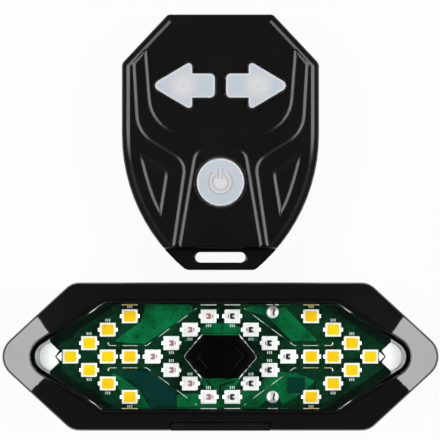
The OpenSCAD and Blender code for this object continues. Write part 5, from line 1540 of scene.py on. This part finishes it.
angles = np.arange(0, 360, opening_step)
nearest_lug = abs((angles - door_turn + lug_turn / 2) % lug_turn - lug_turn / 2)
opening_r = door_r + door_gap + np.where(nearest_lug < lug_angle / 2 + lug_play, lug_out, 0)
opening = opening_r * np.exp(1j * np.radians(angles)) + 1j * coin_y
groove = disc(door_r + lug_out + door_gap + door_slack, 0, coin_y, len(opening))
ledge = disc(door_r + door_gap, 0, coin_y, len(opening))
rear_shell = Shell()
rear_rings = rear_shell.skin([
    (rear_line(rear_bevel + rear_soft), 0.0),
    (rear_line(rear_bevel * 0.5), rear_bevel * 0.28),
    (rear_line(rear_bevel * 0.12), rear_bevel * 0.75),
    (rear_line(0), rear_bevel * 1.3),
    (rear_line(0), rear_top - remote_seam),
    (rear_line(remote_seam), rear_top)])
opening_rings = rear_shell.skin([
    (opening, 0.0), (opening, lug_z - groove_gap), (groove, lug_z - groove_gap),
    (groove, lug_z + lug_h + groove_gap), (ledge, lug_z + lug_h + groove_gap), (ledge, remote_floor)])
rear_slot_rings = rear_shell.skin([(slot, 0.0), (slot, rear_top)])
tub_rings = rear_shell.skin([(hollow_ring, rear_top), (hollow_ring, remote_floor)])
rear_pits = [
    pit(rear_shell, place, head_recess_r, 0.0, screw_sink + screw_head_h) for place in remote_corners]
rear_shell.close(
    [rear_rings[0], opening_rings[0], rear_slot_rings[0]] + rear_pits,
    [rear_rings[-1], tub_rings[0], rear_slot_rings[-1]],
    [tub_rings[-1], opening_rings[-1]])
rear = piece(rear_shell.moved(0, remote_y, 0), "remote_rear_moulding", satin_black, sharp=40.0)
finished(rear, "remote", "satin_black", "remote_rear_cover")

coin_slot = rounded(rectangle(coin_slot_l, coin_slot_w, coin_slot_r), 0, 4)
door_line = disc(door_r - door_slack, steps=door_steps)
door_shell = Shell()
door_rings = door_shell.skin([
    (disc(door_r - door_slack - door_edge, steps=door_steps), door_low.z),
    (door_line, door_low.z + door_edge),
    (door_line, door_high.z)])
coin_rings = door_shell.skin([(coin_slot, door_low.z), (coin_slot, door_low.z + coin_slot_d)])
door_shell.close([door_rings[0], coin_rings[0]], [coin_rings[-1]], [door_rings[-1]])
for k in range(lug_count):
    lug_angles = lug_turn * k + np.linspace(-lug_angle / 2, lug_angle / 2, lug_steps)
    sweep = np.exp(1j * np.radians(lug_angles))
    lug = np.concatenate([(door_r + lug_out) * sweep, (door_r - lug_sunk) * sweep[::-1]])
    door_shell.joined(prism(lug, lug_z, lug_z + lug_h))
door_black = moulded("door_black", (0.007, 0.007, 0.0073), 0.42, grain_scale=3000.0, grain_depth=0.5)
door = piece(door_shell.moved(0, coin_y + remote_y, 0), "battery_door_disc", door_black)
finished(door, "cell_door", "satin_black", "battery_door")
remote_places = [
    (x, y + remote_y, remote_turn + remote_turn_step * k)
    for k, (x, y) in enumerate(remote_corners)]
screw_set("remote_screws", "remote_screw_set", "remote", case_screw, remote_places, seed=23)

# Inside of the remote.
# A green board with three tactile switches lies over the coin cell, which stands in a black holder
# against a brass spring leaf. Rubber cords seal the parting line and the door.
dressed({
    "remote_circuit_board": copper_green,
    "remote_switches": switch_black,
    "left_switch_plunger": plunger_red,
    "right_switch_plunger": plunger_red,
    "power_switch_plunger": plunger_red,
    "cell_holder": moulded("holder_black", (0.011, 0.011, 0.011), 0.4),
    "cell_contact": moulded("contact_brass", (0.62, 0.42, 0.14), 0.28, metallic=1.0),
    "coin_cell": moulded("coin_steel", (0.66, 0.66, 0.65), 0.2, grain_scale=900.0, metallic=1.0),
    "remote_seal": seal_rubber,
    "door_seal": moulded("cord_red", (0.12, 0.02, 0.016), 0.6)})
